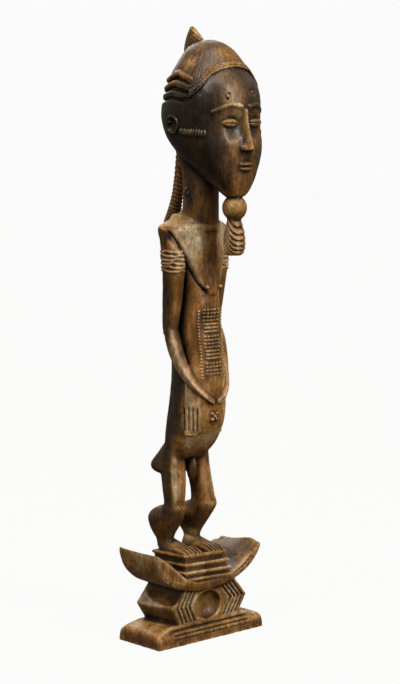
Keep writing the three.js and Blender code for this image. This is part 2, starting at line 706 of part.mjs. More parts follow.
function figure() {
  const parts = [
    plate(),
    column(),
    seat(),
    block(),
    ...bothSides(foot),
    ...bothSides(leg),
    ...loins(),
    trunk(),
    ...bothSides(arm),
    ...bothSides(armScars).flat(),
    ...bellyScars(),
    ...bothSides(hipFlutes).flat(),
    ...smallKnobs(),
    loft(NECK, 14),
    loft(HEAD, HEAD_SIDES),
    ...face(),
    ...bothSides(ear),
    ...hair(),
    ...rolls(),
    crest(),
    plait(),
    ...beard(),
  ];
  return join(parts);
}

function toGeometry(manifold) {
  const mesh = manifold.getMesh();
  const geometry = new THREE.BufferGeometry();
  geometry.setAttribute('position', new THREE.BufferAttribute(mesh.vertProperties, 3));
  geometry.setIndex(new THREE.BufferAttribute(mesh.triVerts, 1));
  geometry.computeVertexNormals();
  return geometry;
}

const ancestor = new THREE.Group();
const carving = new THREE.Mesh(toGeometry(figure()), new THREE.MeshStandardMaterial(WOOD));
carving.name = 'ancestor_figure';
ancestor.add(carving);

export default ancestor;
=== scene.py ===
"""Standing ancestor figure on a crescent stool, carved from one block of wood.

The carving is worked out as one signed distance field, in millimetres, from lofted forms, repeated
marks and engraved lines. Its surface is then turned into one mesh, in metres, which stands for the
frame's only node.
"""

import logging
import math
from dataclasses import dataclass, field, replace
from enum import Enum
from typing import Callable, Iterable, Sequence

import bpy
import numpy as np
import openvdb
from mathutils import Euler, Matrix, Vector


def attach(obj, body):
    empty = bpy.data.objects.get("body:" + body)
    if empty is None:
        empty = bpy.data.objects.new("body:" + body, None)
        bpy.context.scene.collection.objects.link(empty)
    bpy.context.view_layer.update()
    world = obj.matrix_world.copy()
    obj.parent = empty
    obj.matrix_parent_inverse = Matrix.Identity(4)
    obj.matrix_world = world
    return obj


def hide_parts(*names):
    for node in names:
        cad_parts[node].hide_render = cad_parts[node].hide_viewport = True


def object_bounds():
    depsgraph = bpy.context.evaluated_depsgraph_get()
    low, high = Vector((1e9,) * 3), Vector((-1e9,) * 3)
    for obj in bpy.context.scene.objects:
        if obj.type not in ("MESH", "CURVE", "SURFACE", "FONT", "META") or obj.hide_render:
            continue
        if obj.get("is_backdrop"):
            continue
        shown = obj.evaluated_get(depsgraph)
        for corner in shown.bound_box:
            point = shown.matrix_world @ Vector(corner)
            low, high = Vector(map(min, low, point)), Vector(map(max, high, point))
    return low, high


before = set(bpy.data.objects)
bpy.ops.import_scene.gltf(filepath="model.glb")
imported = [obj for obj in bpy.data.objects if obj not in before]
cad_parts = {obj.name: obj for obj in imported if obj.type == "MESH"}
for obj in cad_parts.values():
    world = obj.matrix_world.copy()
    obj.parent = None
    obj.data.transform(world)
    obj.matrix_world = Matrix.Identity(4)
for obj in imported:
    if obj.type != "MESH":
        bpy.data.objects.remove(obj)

LOG = logging.getLogger("ancestor_figure")
MM = 0.001
NODE = "ancestor_figure"
SPACE = ((-61, -76, -2), (61, 36, 502))
PITCH, QUICK_PITCH = 0.5, 1.0
WEAR_DEPTH, WEAR_SEED = 0.11, 5

TINY = 1e-6

Array = np.ndarray
Point = tuple[float, float, float]
Window = tuple[slice, ...]
Depth = Callable[[Array, Array, Array], Array]


class Side(Enum):
    """A side of the figure, with the sign of its X."""

    RIGHT = -1
    LEFT = 1


# Shapes

LEAST_HALF = 0.05


@dataclass(frozen=True)
class Form:
    """A closed surface in millimetres."""

    points: Array
    triangles: Array
    quads: Array


@dataclass(frozen=True)
class Station:
    """One section of a form: its middle, half sizes, squareness and taper to the back."""

    z: float
    y: float
    a: float
    b: float
    n: float = 2.0
    x: float = 0.0
    taper: float = 0.0

    def row(self) -> list[float]:
        """The station's sizes as a row of numbers."""
        return [self.z, self.y, self.a, self.b, self.n, self.x, self.taper]


def smooth_rows(rows: Array, steps: int) -> Array:
    """Fills in rows of numbers along a smooth curve.

    Args:
        rows: One row for each station.
        steps: How many rows each stretch between two stations becomes.

    Returns:
        The filled rows, the first and last station included.
    """
    padded = np.vstack([2 * rows[0] - rows[1], rows, 2 * rows[-1] - rows[-2]])
    t = np.linspace(0, 1, steps, endpoint=False)[:, None]
    out = []
    for i in range(1, len(padded) - 2):
        p0, p1, p2, p3 = padded[i - 1 : i + 3]
        rise = (p2 - p0) / 2
        fall = (p3 - p1) / 2
        t2, t3 = t * t, t * t * t
        out.append(
            (2 * t3 - 3 * t2 + 1) * p1 + (t3 - 2 * t2 + t) * rise + (3 * t2 - 2 * t3) * p2 + (t3 - t2) * fall
        )
    out.append(rows[-1:])
    return np.vstack(out)


def section_at(stations: Sequence[Station], z: float) -> Station:
    """A form's section at a height.

    Args:
        stations: The form's sections from the lowest up.
        z: The height.

    Returns:
        The section between the two nearest ones.
    """
    rows = np.array([s.row() for s in stations])
    return Station(*(float(np.interp(z, rows[:, 0], rows[:, k])) for k in range(rows.shape[1])))


def superellipse(angle: Array, a: float, b: float, n: float, taper: float = 0.0) -> tuple[Array, Array]:
    """Points of a superellipse.

    Args:
        angle: The angles, in radians.
        a: Half size across.
        b: Half size along.
        n: Squareness; 2 is an ellipse.
        taper: How much narrower it is on its far side.

    Returns:
        The offsets across and along.
    """
    c, s = np.cos(angle), np.sin(angle)
    across = a * np.sign(c) * np.abs(c) ** (2 / n) * (1 - taper * s)
    along = b * np.sign(s) * np.abs(s) ** (2 / n)
    return across, along


def skin(rings: Array) -> Form:
    """Closes a stack of rings into a form.

    Args:
        rings: Points as (rows, sides, 3).

    Returns:
        The closed form, with a fan over each end.
    """
    rows, sides, _ = rings.shape
    middles = rings[[0, -1]].mean(axis=1)
    points = np.vstack([rings.reshape(-1, 3), middles])
    j = np.arange(sides)
    k = (j + 1) % sides
    i = (np.arange(rows - 1) * sides)[:, None]
    quads = np.stack([i + j, i + k, i + sides + k, i + sides + j], axis=-1).reshape(-1, 4)
    top = (rows - 1) * sides
    low_fan = np.stack([np.full(sides, rows * sides), k, j], axis=-1)
    high_fan = np.stack([np.full(sides, rows * sides + 1), top + j, top + k], axis=-1)
    triangles = np.vstack([low_fan, high_fan])
    return Form(points.astype(np.float32), triangles.astype(np.uint32), quads.astype(np.uint32))


def loft(stations: Sequence[Station], side: int = 1, steps: int = 6, sides: int = 72) -> Form:
    """A form through level sections.

    Args:
        stations: The sections from the lowest up.
        side: 1, or -1 to mirror it to the figure's right.
        steps: Rows between two stations.
        sides: Points round each ring.

    Returns:
        The form.
    """
    rows = smooth_rows(np.array([s.row() for s in stations]), steps)
    angle = np.linspace(0, 2 * np.pi, sides, endpoint=False)
    rings = []
    for z, y, a, b, n, x, taper in rows:
        dx, dy = superellipse(angle, max(a, LEAST_HALF), max(b, LEAST_HALF), n, taper)
        rings.append(np.stack([side * (x + dx), y + dy, np.full(sides, z)], axis=-1))
    return skin(np.array(rings))


def sweep(
    path: Sequence[Sequence[float]],
    reference: Point = (0, -1, 0),
    side: int = 1,
    steps: int = 8,
    sides: int = 24,
    n: float = 2.0,
    swell: Callable[[float, Array], Array] | None = None,
) -> Form:
    """A form that follows a bent line.

    Args:
        path: Rows of x, y, z, half size across and half size towards the reference.
        reference: The direction that the second half size points to.
        side: 1, or -1 to mirror it to the figure's right.
        steps: Rows between two path points.
        sides: Points round each ring.
        n: Squareness of the section.
        swell: Gives each ring's scale from its share of the path and the angles round it.

    Returns:
        The form.
    """
    rows = smooth_rows(np.array(path, float), steps)
    centre = rows[:, :3]
    tangent = np.gradient(centre, axis=0)
    tangent /= np.linalg.norm(tangent, axis=1, keepdims=True)
    along = np.array(reference, float) - (tangent @ np.array(reference, float))[:, None] * tangent
    along /= np.linalg.norm(along, axis=1, keepdims=True)
    across = np.cross(tangent, along)
    angle = np.linspace(0, 2 * np.pi, sides, endpoint=False)
    rings = []
    for i, row in enumerate(rows):
        da, db = superellipse(angle, row[3], row[4], n)
        size = swell(i / (len(rows) - 1), angle) if swell else 1.0
        rings.append(centre[i] + (da * size)[:, None] * across[i] + (db * size)[:, None] * along[i])
    points = np.array(rings)
    points[..., 0] *= side
    return skin(points)


def rounded_ring(half_x: float, half_y: float, radius: float, z: float, per_corner: int = 8) -> Array:
    """A level rectangle with rounded corners.

    Args:
        half_x: Half its size across.
        half_y: Half its size along.
        radius: The corners' radius.
        z: Its height.
        per_corner: How many points each corner has.

    Returns:
        The ring's points.
    """
    turn = np.linspace(0, np.pi / 2, per_corner)
    ring = []
    for corner in range(4):
        middle = (corner + 0.5) * np.pi / 2
        cx = np.sign(np.cos(middle)) * (half_x - radius)
        cy = np.sign(np.sin(middle)) * (half_y - radius)
        angle = corner * np.pi / 2 + turn
        level = np.full(per_corner, z)
        ring.append(np.stack([cx + radius * np.cos(angle), cy + radius * np.sin(angle), level], -1))
    return np.vstack(ring)


# The field that is carved

FACET_PITCH = 4.6
DENT_PITCH = 2.1
DENT_SHARE = 0.45
SLAB = 128
CORNERS = np.array([(i, j, k) for i in (0, 1) for j in (0, 1) for k in (0, 1)])


@dataclass
class Carving:
    """A block of space with the distance to the wood's surface, in millimetres.

    Attributes:
        low: The block's lowest corner.
        high: Its highest corner.
        pitch: The distance between two samples.
        band: How far from the surface distances are kept.
        start: The lowest corner, counted in samples.
        values: The distances, below zero inside the wood.
    """

    low: Point
    high: Point
    pitch: float
    band: float = 4.0
    start: Array = field(init=False)
    values: Array = field(init=False)

    def __post_init__(self) -> None:
        """Starts with an empty block."""
        self.start = np.floor(np.array(self.low) / self.pitch).astype(int)
        shape = np.ceil(np.array(self.high) / self.pitch).astype(int) - self.start
        self.values = np.full(shape, self.band, np.float32)

    def window(self, low: Iterable[float], high: Iterable[float]) -> tuple[Window, tuple[Array, ...]]:
        """The samples between two corners.

        Args:
            low: The lowest corner.
            high: The highest corner.

        Returns:
            The slices of the block, and the samples' X, Y and Z, shaped to be combined.
        """
        first = np.floor(np.array(list(low)) / self.pitch).astype(int) - self.start
        last = np.ceil(np.array(list(high)) / self.pitch).astype(int) + 1 - self.start
        first, last = (np.clip(corner, 0, self.values.shape) for corner in (first, last))
        spans = list(zip(first, last, self.start))
        axes = [((np.arange(a, b) + s) * self.pitch).astype(np.float32) for a, b, s in spans]
        grid = np.meshgrid(*axes, indexing="ij", sparse=True)
        return tuple(slice(a, b) for a, b, _ in spans), tuple(grid)

    def _blend(self, a: Array, b: Array, blend: float) -> Array:
        """Joins two distances.

        Args:
            a: The distance to one form.
            b: The distance to the other.
            blend: About how large the fillet between them is.

        Returns:
            The distance to both together.
        """
        lower = np.minimum(a, b)
        if blend <= 0:
            return lower
        near = np.clip(1 - np.abs(a - b) / blend, 0, 1)
        fade = np.clip((self.band - lower) / (0.5 * self.band), 0, 1)
        return lower - near * near * (0.25 * blend) * fade

    def distance(self, form: Form) -> tuple[Window, Array]:
        """Measures the distance to a form.

        Args:
            form: The form.

        Returns:
            The window round the form, and the distances in it.
        """
        margin = self.band + self.pitch
        where, _ = self.window(form.points.min(0) - margin, form.points.max(0) + margin)
        first = self.start + np.array([s.start for s in where])
        shape = [s.stop - s.start for s in where]
        out = np.full(shape, self.band, np.float32)
        grid = openvdb.FloatGrid.createLevelSetFromPolygons(
            form.points,
            triangles=form.triangles,
            quads=form.quads,
            transform=openvdb.createLinearTransform(voxelSize=self.pitch),
            halfWidth=self.band / self.pitch,
        )
        grid.copyToArray(out, ijk=tuple(int(v) for v in first))
        return where, out

    def add(self, form: Form, blend: float = 0.0) -> None:
        """Joins a form on, with a fillet."""
        where, other = self.distance(form)
        self.values[where] = self._blend(self.values[where], other, blend)

    def cut(self, form: Form, blend: float = 0.0) -> None:
        """Cuts a form away."""
        where, other = self.distance(form)
        self.values[where] = -self._blend(-self.values[where], other, blend)

    def _egg(self, centre: Point, radii: Point) -> tuple[Window, Array]:
        """Measures the distance to an egg.

        Args:
            centre: The egg's middle.
            radii: Its half sizes.

        Returns:
            The window round the egg, and the distances in it.
        """
        margin = self.band
        low = [c - r - margin for c, r in zip(centre, radii)]
        high = [c + r + margin for c, r in zip(centre, radii)]
        where, grid = self.window(low, high)
        scaled = [(g - c) / r for g, c, r in zip(grid, centre, radii)]
        k0 = np.sqrt(sum(s * s for s in scaled)) + TINY
        k1 = np.sqrt(sum((s / r) ** 2 for s, r in zip(scaled, radii))) + TINY
        return where, np.clip(k0 * (k0 - 1) / k1, -self.band, self.band).astype(np.float32)

    def add_egg(self, centre: Point, radii: Point, blend: float = 0.0) -> None:
        """Joins an egg shape on."""
        where, other = self._egg(centre, radii)
        self.values[where] = self._blend(self.values[where], other, blend)

    def cut_egg(self, centre: Point, radii: Point, blend: float = 0.0) -> None:
        """Scoops an egg shape out."""
        where, other = self._egg(centre, radii)
        self.values[where] = -self._blend(-self.values[where], other, blend)

    def engrave(self, low: Point, high: Point, depth: Depth) -> None:
        """Lowers the surface between two corners by a depth that depends on the place."""
        where, (x, y, z) = self.window(low, high)
        self.values[where] += depth(x, y, z).astype(np.float32)

    def keep_below(self, low: Point, high: Point, level: Depth, blend: float) -> None:
        """Cuts the wood back to a face, between two corners.

        Args:
            low: The lowest corner.
            high: The highest corner.
            level: How far each place lies over the face.
            blend: How round the new edge is.
        """
        where, (x, y, z) = self.window(low, high)
        plane = np.clip(level(x, y, z), -self.band, self.band).astype(np.float32)
        plane = np.broadcast_to(plane, self.values[where].shape)
        self.values[where] = -self._blend(-self.values[where], -plane, blend)

    def noise(self, shape: Sequence[Array], pitch: float, seed: int) -> Array:
        """Smooth random values over a grid.

        Args:
            shape: The grid's coordinates along each axis.
            pitch: About how large the features are.
            seed: Picks the values.

        Returns:
            Values from -1 to 1.
        """
        generator = np.random.default_rng(seed)
        axes = [np.ravel(axis) / pitch for axis in shape]
        bases = [np.floor(axis.min()) for axis in axes]
        counts = [int(np.floor(axis.max()) - base) + 2 for axis, base in zip(axes, bases)]
        out = generator.uniform(-1, 1, counts).astype(np.float32)
        for dim, (axis, base) in enumerate(zip(axes, bases)):
            cell = np.floor(axis - base).astype(int)
            t = (axis - base - cell).astype(np.float32)
            t = t * t * (3 - 2 * t)
            t = t.reshape([-1 if d == dim else 1 for d in range(3)])
            out = np.take(out, cell, axis=dim) * (1 - t) + np.take(out, cell + 1, axis=dim) * t
        return out

    def weather(self, depth: float, seed: int) -> None:
        """Lowers and raises the whole surface a little, as knife marks and wear do.

        Args:
            depth: How far, in millimetres.
            seed: Picks the pattern.
        """
        axes = [(np.arange(n) + s) * self.pitch for n, s in zip(self.values.shape, self.start)]
        for first in range(0, self.values.shape[2], SLAB):
            span = slice(first, min(first + SLAB, self.values.shape[2]))
            shape = (axes[0], axes[1], axes[2][span])
            facets = self.noise(shape, FACET_PITCH, seed)
            dents = self.noise(shape, DENT_PITCH, seed + 1)
            self.values[:, :, span] += depth * (facets + DENT_SHARE * dents)

    def blurred(self, stride: int, passes: int) -> tuple[Array, float]:
        """The field on a coarser grid, blurred.

        Args:
            stride: How many samples become one.
            passes: How often each sample is mixed with its neighbours.

        Returns:
            The coarse field and its pitch.
        """
        out = np.ascontiguousarray(self.values[::stride, ::stride, ::stride])
        for _ in range(passes):
            for axis in range(3):
                view = np.moveaxis(out, axis, 0)
                view[1:-1] = 0.5 * view[1:-1] + 0.25 * (view[2:] + view[:-2])
        return out, stride * self.pitch

    def sample(self, coarse: tuple[Array, float], points: Array) -> Array:
        """Reads a coarse field at scattered points.

        Args:
            coarse: The field and its pitch.
            points: The points, in millimetres.

        Returns:
            The field's value at each point.
        """
        grid, pitch = coarse
        place = (points - self.start * self.pitch) / pitch
        cell = np.clip(np.floor(place).astype(int), 0, np.array(grid.shape) - 2)
        t = np.clip(place - cell, 0, 1)
        out = np.zeros(len(points), np.float32)
        for step in CORNERS:
            weight = np.prod(np.where(step, t, 1 - t), axis=1)
            i, j, k = (cell + step).T
            out += (weight * grid[i, j, k]).astype(np.float32)
        return out

    def surface(self) -> tuple[Array, Array]:
        """The wood's surface.

        Returns:
            The points in millimetres, and the faces as quads that look outward.
        """
        grid = openvdb.FloatGrid(self.band)
        grid.transform = openvdb.createLinearTransform(voxelSize=self.pitch)
        grid.copyFromArray(self.values, ijk=tuple(int(v) for v in self.start), tolerance=0.0)
        points, quads = grid.convertToQuads(isovalue=0.0)
        return points, quads[:, ::-1]


# Help with Blender's data


def placed(name: str, data: bpy.types.ID) -> bpy.types.Object:
    """Puts a new object into the scene.

    Args:
        name: The object's name.
        data: What it holds.

    Returns:
        The object.
    """
    obj = bpy.data.objects.new(name, data)
    bpy.context.scene.collection.objects.link(obj)
    return obj


def vectors(mesh: bpy.types.Mesh, name: str) -> Array:
    """Reads a vector of each point of a mesh.

    Args:
        mesh: The mesh.
        name: What the vector is called.

    Returns:
        One row for each point.
    """
    values = np.empty(len(mesh.vertices) * 3, np.float32)
    mesh.vertices.foreach_get(name, values)
    return values.reshape(-1, 3)


# Repeated marks

MARK_SIZE = "mark_size"
MARK_TURN = "mark_turn"
RINGS_SHARE = 0.67


@dataclass(frozen=True)
class Mark:
    """One raised mark: its middle, its half sizes and its turn, in millimetres and degrees."""

    at: Point
    size: Point
    turn: Point = (0.0, 0.0, 0.0)


class MarkMaker:
    """Sets out repeated marks with Geometry Nodes, as eggs with a size and turn of their own."""

    def __init__(self) -> None:
        """Makes the nodes once, for all marks."""
        self.material = bpy.data.materials.new("mark_stand_in")
        self.tree = self._tree()

    def _tree(self) -> bpy.types.GeometryNodeTree:
        """Makes the nodes that put an egg on each point.

        Returns:
            The node tree.
        """
        tree = bpy.data.node_groups.new("repeat_marks", "GeometryNodeTree")
        face = tree.interface
        face.new_socket("Points", in_out="INPUT", socket_type="NodeSocketGeometry")
        segments = face.new_socket("Segments", in_out="INPUT", socket_type="NodeSocketInt")
        segments.default_value = 12
        grow = face.new_socket("Grow", in_out="INPUT", socket_type="NodeSocketFloat")
        grow.default_value = 1.0
        face.new_socket("Marks", in_out="OUTPUT", socket_type="NodeSocketGeometry")
        self.segments_id = segments.identifier
        self.grow_id = grow.identifier
        nodes = tree.nodes
        source = nodes.new("NodeGroupInput")
        egg = nodes.new("GeometryNodeMeshUVSphere")
        egg.inputs["Radius"].default_value = 1.0
        half = nodes.new("ShaderNodeMath")
        half.operation = "MULTIPLY"
        half.inputs[1].default_value = RINGS_SHARE
        size = nodes.new("GeometryNodeInputNamedAttribute")
        size.data_type = "FLOAT_VECTOR"
        size.inputs["Name"].default_value = MARK_SIZE
        turn = nodes.new("GeometryNodeInputNamedAttribute")
        turn.data_type = "FLOAT_VECTOR"
        turn.inputs["Name"].default_value = MARK_TURN
        scale = nodes.new("ShaderNodeVectorMath")
        scale.operation = "SCALE"
        place = nodes.new("GeometryNodeInstanceOnPoints")
        rotation = nodes.new("FunctionNodeEulerToRotation")
        realize = nodes.new("GeometryNodeRealizeInstances")
        paint = nodes.new("GeometryNodeSetMaterial")
        paint.inputs["Material"].default_value = self.material
        sink = nodes.new("NodeGroupOutput")
        wires = (
            (source, "Segments", egg, "Segments"),
            (source, "Segments", half, 0),
            (half, 0, egg, "Rings"),
            (size, "Attribute", scale, 0),
            (source, "Grow", scale, "Scale"),
            (turn, "Attribute", rotation, 0),
            (source, "Points", place, "Points"),
            (egg, "Mesh", place, "Instance"),
            (rotation, 0, place, "Rotation"),
            (scale, 0, place, "Scale"),
            (place, "Instances", realize, "Geometry"),
            (realize, "Geometry", paint, "Geometry"),
            (paint, "Geometry", sink, "Marks"),
        )
        for giver, output, taker, entry in wires:
            tree.links.new(giver.outputs[output], taker.inputs[entry])
        return tree

    def make(self, marks: Sequence[Mark], segments: int = 12, grow: float = 1.0) -> Form:
        """Turns marks into one form.

        Args:
            marks: The marks. They may touch the wood but not each other.
            segments: Points round each egg.
            grow: Scale of every mark about its own middle.

        Returns:
            The form, in millimetres.
        """
        mesh = bpy.data.meshes.new("mark_points")
        mesh.from_pydata([m.at for m in marks], [], [])
        sizes = mesh.attributes.new(MARK_SIZE, "FLOAT_VECTOR", "POINT")
        sizes.data.foreach_set("vector", np.array([m.size for m in marks], np.float32).ravel())
        turns = mesh.attributes.new(MARK_TURN, "FLOAT_VECTOR", "POINT")
        turns.data.foreach_set("vector", np.radians(np.array([m.turn for m in marks], np.float32)).ravel())
        obj = placed("mark_points", mesh)
        modifier = obj.modifiers.new("repeat", "NODES")
        modifier.node_group = self.tree
        modifier[self.segments_id] = segments
        modifier[self.grow_id] = grow
        graph = bpy.context.evaluated_depsgraph_get()
        made = bpy.data.meshes.new_from_object(obj.evaluated_get(graph))
        points = vectors(made, "co")
        made.calc_loop_triangles()
        triangles = np.empty(len(made.loop_triangles) * 3, np.int32)
        made.loop_triangles.foreach_get("vertices", triangles)
        bpy.data.objects.remove(obj)
        bpy.data.meshes.remove(mesh)
        bpy.data.meshes.remove(made)
        return Form(points, triangles.reshape(-1, 3).astype(np.uint32), np.empty((0, 4), np.uint32))


def both(make: Callable[[int], None]) -> None:
    """Makes the same thing on the figure's right and left."""
    for side in Side:
        make(side.value)


def bump(value: Array, middle: float, width: float) -> Array:
    """A smooth hill of height 1 at the middle that ends at the width."""
    t = np.clip(1 - np.abs(value - middle) / width, 0, 1)
    return t * t * (3 - 2 * t)


def ramp(value: Array, start: float, end: float) -> Array:
    """A smooth step from 0 at the start to 1 at the end."""
    t = np.clip((value - start) / (end - start), 0, 1)
    return t * t * (3 - 2 * t)


def groove(value: Array, middle: float, half: float) -> Array:
    """A V-shaped groove of depth 1."""
    return np.clip(1 - np.abs(value - middle) / half, 0, 1)


# The stool


@dataclass(frozen=True)
class Stool:
    """Plate, column, crescent seat and stepped block."""

    plate_length: float = 58.6
    plate_depth: float = 25.8
    plate_height: float = 15.5
    plate_corner: float = 3.2
    column_levels: Point = (14.0, 29.5, 46.0)
    column_widths: Point = (34.0, 44.0, 30.0)
    column_slants: Point = (3.4, 6.4, 1.2)
    column_depth: float = 20.0
    chevron_places: tuple[float, ...] = (4.4, 8.8, 13.2, 17.6)
    dish_z: float = 27.6
    seat_length: float = 57.2
    seat_drop: float = 31.5
    seat_fullness: float = 2.15
    seat_bevel: float = 5.0
    seat_z: float = 72.0
    seat_front: float = -23.0
    seat_back: float = 25.2
    right_rim: tuple[tuple[float, ...], tuple[float, ...]] = (
        (0, 14, 21, 28, 35, 42, 50, 57),
        (48.6, 49.2, 51.2, 55.2, 61.2, 67.4, 73.2, 77.4),
    )
    left_rim: tuple[tuple[float, ...], tuple[float, ...]] = (
        (0, 10, 20, 28, 36, 44, 51, 57),
        (48.6, 49.0, 50.8, 53.4, 57.6, 63.0, 67.6, 71.2),
    )
    block_levels: tuple[float, ...] = (70.6, 63.6, 57.2, 51.6, 46.0)
    block_half: float = 23.6
    block_front: float = -18.6
    block_back: float = 22.8
    block_growth: float = 1.25
    lean: float = 0.035

    def build(self, wood: Carving) -> None:
        """Carves the stool.

        Args:
            wood: The field to carve.
        """
        self._plate(wood)
        self._column(wood)
        self._seat(wood)
        self._block(wood)

    def _plate(self, wood: Carving) -> None:
        """Carves the plate, with sloping ends and stepped front and back.

        Args:
            wood: The field to carve.
        """
        low_rows = [(0, 0, 0), (4, 0, 0.2), (8.5, 0.8, 1.0), (11.5, 3.0, 3.4), (13.5, 8.4, 4.6)]
        rows = smooth_rows(np.array([*low_rows, (self.plate_height, 17, 5.6)], float), 5)
        rings = [
            rounded_ring(self.plate_length - dx, self.plate_depth - dy, self.plate_corner, z)
            for z, dx, dy in rows
        ]
        wood.add(skin(np.array(rings)))

        def steps(x: Array, y: Array, z: Array) -> Array:
            """Long steps on the front and back.

            Args:
                x: The places' X.
                y: The places' Y.
                z: The places' Z.

            Returns:
                How deep the wood is cut there.
            """
            within = ramp(x, -42, -38) * ramp(-x, -44, -40) * ramp(np.abs(y), 16, 18)
            lines = 1.5 * groove(z, 12.2, 1.1) + 1.2 * groove(z, 9.0, 1.0) + 0.6 * groove(z, 5.6, 0.7)
            return lines * within

        def boxes(x: Array, y: Array, z: Array) -> Array:
            """Small incised boxes on the lower step.

            Args:
                x: The places' X.
                y: The places' Y.
                z: The places' Z.

            Returns:
                How deep the wood is cut there.
            """
            inside = ramp(np.abs(y), 20, 22) * bump(z, 7.0, 2.6)
            place = (x + 60) % 15.0
            run = ramp(x, -36, -35) * ramp(-x, -40, -39)
            return 0.7 * np.clip(groove(place, 2.0, 0.9) + groove(place, 9.0, 0.9), 0, 1) * inside * run

        low, high = (-62, -30, 2), (62, 30, 15)
        wood.engrave(low, high, steps)
        wood.engrave(low, high, boxes)

    def _column_edge(self, z: Array) -> Array:
        """Half the column's width at each height."""
        return np.interp(z, self.column_levels, self.column_widths)

    def _column_slant(self, z: Array) -> Array:
        """How far the column's right end runs back towards the front, at each height."""
        return np.interp(z, self.column_levels, self.column_slants)

    def _column(self, wood: Carving) -> None:
        """Carves the six-sided column, with its dishes, scoops and chevrons.

        Args:
            wood: The field to carve.
        """
        depth = self.column_depth
        ridge = self.column_levels[1]
        heights = np.concatenate([np.linspace(10, ridge, 12), np.linspace(ridge + 1, 50, 12)])
        rings = []
        for z in heights:
            ring = rounded_ring(float(self._column_edge(z)), depth, 1.6, float(z))
            slant = float(self._column_slant(z))
            ring[:, 0] += slant * (ring[:, 0] < 0) * np.clip((depth - ring[:, 1]) / (2 * depth), 0, 1)
            rings.append(ring)
        wood.add(skin(np.array(rings)), 1.2)
        for face in (-1, 1):
            wood.cut_egg((0, face * depth, self.dish_z), (14.6, 8.5, 11.8), 0.8)
        wood.cut_egg((-36, -6, 48), (12, 27, 17), 0.3)
        wood.cut_egg((36, 2, 48), (12, 17, 17), 0.3)

        def chevrons(x: Array, y: Array, z: Array) -> Array:
            """Nested chevrons that follow the column's outline.

            Args:
                x: The places' X.
                y: The places' Y.
                z: The places' Z.

            Returns:
                How deep the wood is cut there.
            """
            side = np.where((x < 0) & (y < 0), self._column_slant(z), 0.0)
            inward = self._column_edge(z) - side - np.abs(x)
            face = ramp(np.abs(y), depth - 3.5, depth - 2.5) * ramp(z, 16, 17) * ramp(-z, -44, -43)
            lines = sum(groove(inward, middle, 1.7) for middle in self.chevron_places)
            clear = ramp(np.hypot(x / 15.6, (z - self.dish_z) / 12.8), 1.0, 1.06)
            return 2.3 * lines * face * clear

        wood.engrave((-46, -depth - 3, 15), (46, depth + 3, 45), chevrons)

    def _seat_low(self, share: Array) -> Array:
        """The height of the seat's underside, by the share of the way out to its tip."""
        fullness = self.seat_fullness
        return self.seat_z - self.seat_drop * (1 - share**fullness) ** (1 / fullness)

    def _seat(self, wood: Carving) -> None:
        """Carves the crescent seat, with its uneven wings and the border on its front and back.

        Args:
            wood: The field to carve.
        """
        xs = self.seat_length * np.sin(np.linspace(-np.pi / 2, np.pi / 2, 97))
        front, back = self.seat_front, self.seat_back
        rings = []
        for x in xs:
            share = min(abs(x) / self.seat_length, 0.9999)
            low = self._seat_low(share)
            rim = self.right_rim if x < 0 else self.left_rim
            high = max(float(np.interp(abs(x), *rim)), low + 0.6)
            arch = share**8 * (x > 0)
            swell = 4.6 * math.exp(-(((abs(x) - 41) / 10) ** 2)) * (0.4 if x < 0 else 1.0) - 2.2 * arch
            behind = max(high + swell, low + 0.6)
            cut = min(self.seat_bevel, (high - low) * 0.45)
            outline = [
                (front + cut, low),
                (front + cut * 0.35, low + cut * 0.3),
                (front, low + cut),
                (front, high - 0.8),
                (front + 0.8, high),
                (front + 11, high + 2.6 * arch),
                (front + 18, high + 0.1 * swell - 0.4 + 2.4 * arch),
                (back - 14, high + 0.6 * swell - 0.4),
                (back - 0.8, behind),
                (back, behind - 0.8),
                (back, low + cut),
                (back - cut * 0.35, low + cut * 0.3),
                (back - cut, low),
            ]
            rings.append([(x, y, z) for y, z in outline])
        wood.add(skin(np.array(rings)), 1.0)

        def crosses(x: Array, y: Array, z: Array) -> Array:
            """A border line and crosses by the seat's tips.

            Args:
                x: The places' X.
                y: The places' Y.
                z: The places' Z.

            Returns:
                How deep the wood is cut there.
            """
            share = np.clip(np.abs(x) / self.seat_length, 0, 0.999)
            rise = z - self._seat_low(share)
            face = ramp(np.abs(y), 19, 20) * ramp(x, 31, 33)
            slant = 1 / np.sqrt(1 + (0.6 + 2.2 * share**6) ** 2)
            across = rise * slant
            line = groove(across, 6.2, 0.8)
            pitch = (np.abs(x) - 33.0 + 0.55 * z) % 9.0
            level = (across - 3.1) * 1.1
            arms = groove(pitch - 4.5, level, 0.8) + groove(4.5 - pitch, level, 0.8)
            band = ramp(across, 0.6, 1.4) * ramp(-across, -6.0, -5.2)
            return (1.0 * line + 0.8 * np.clip(arms, 0, 1) * band) * face

        wood.engrave((-58, front - 3, 40), (58, back + 3, 76), crosses)

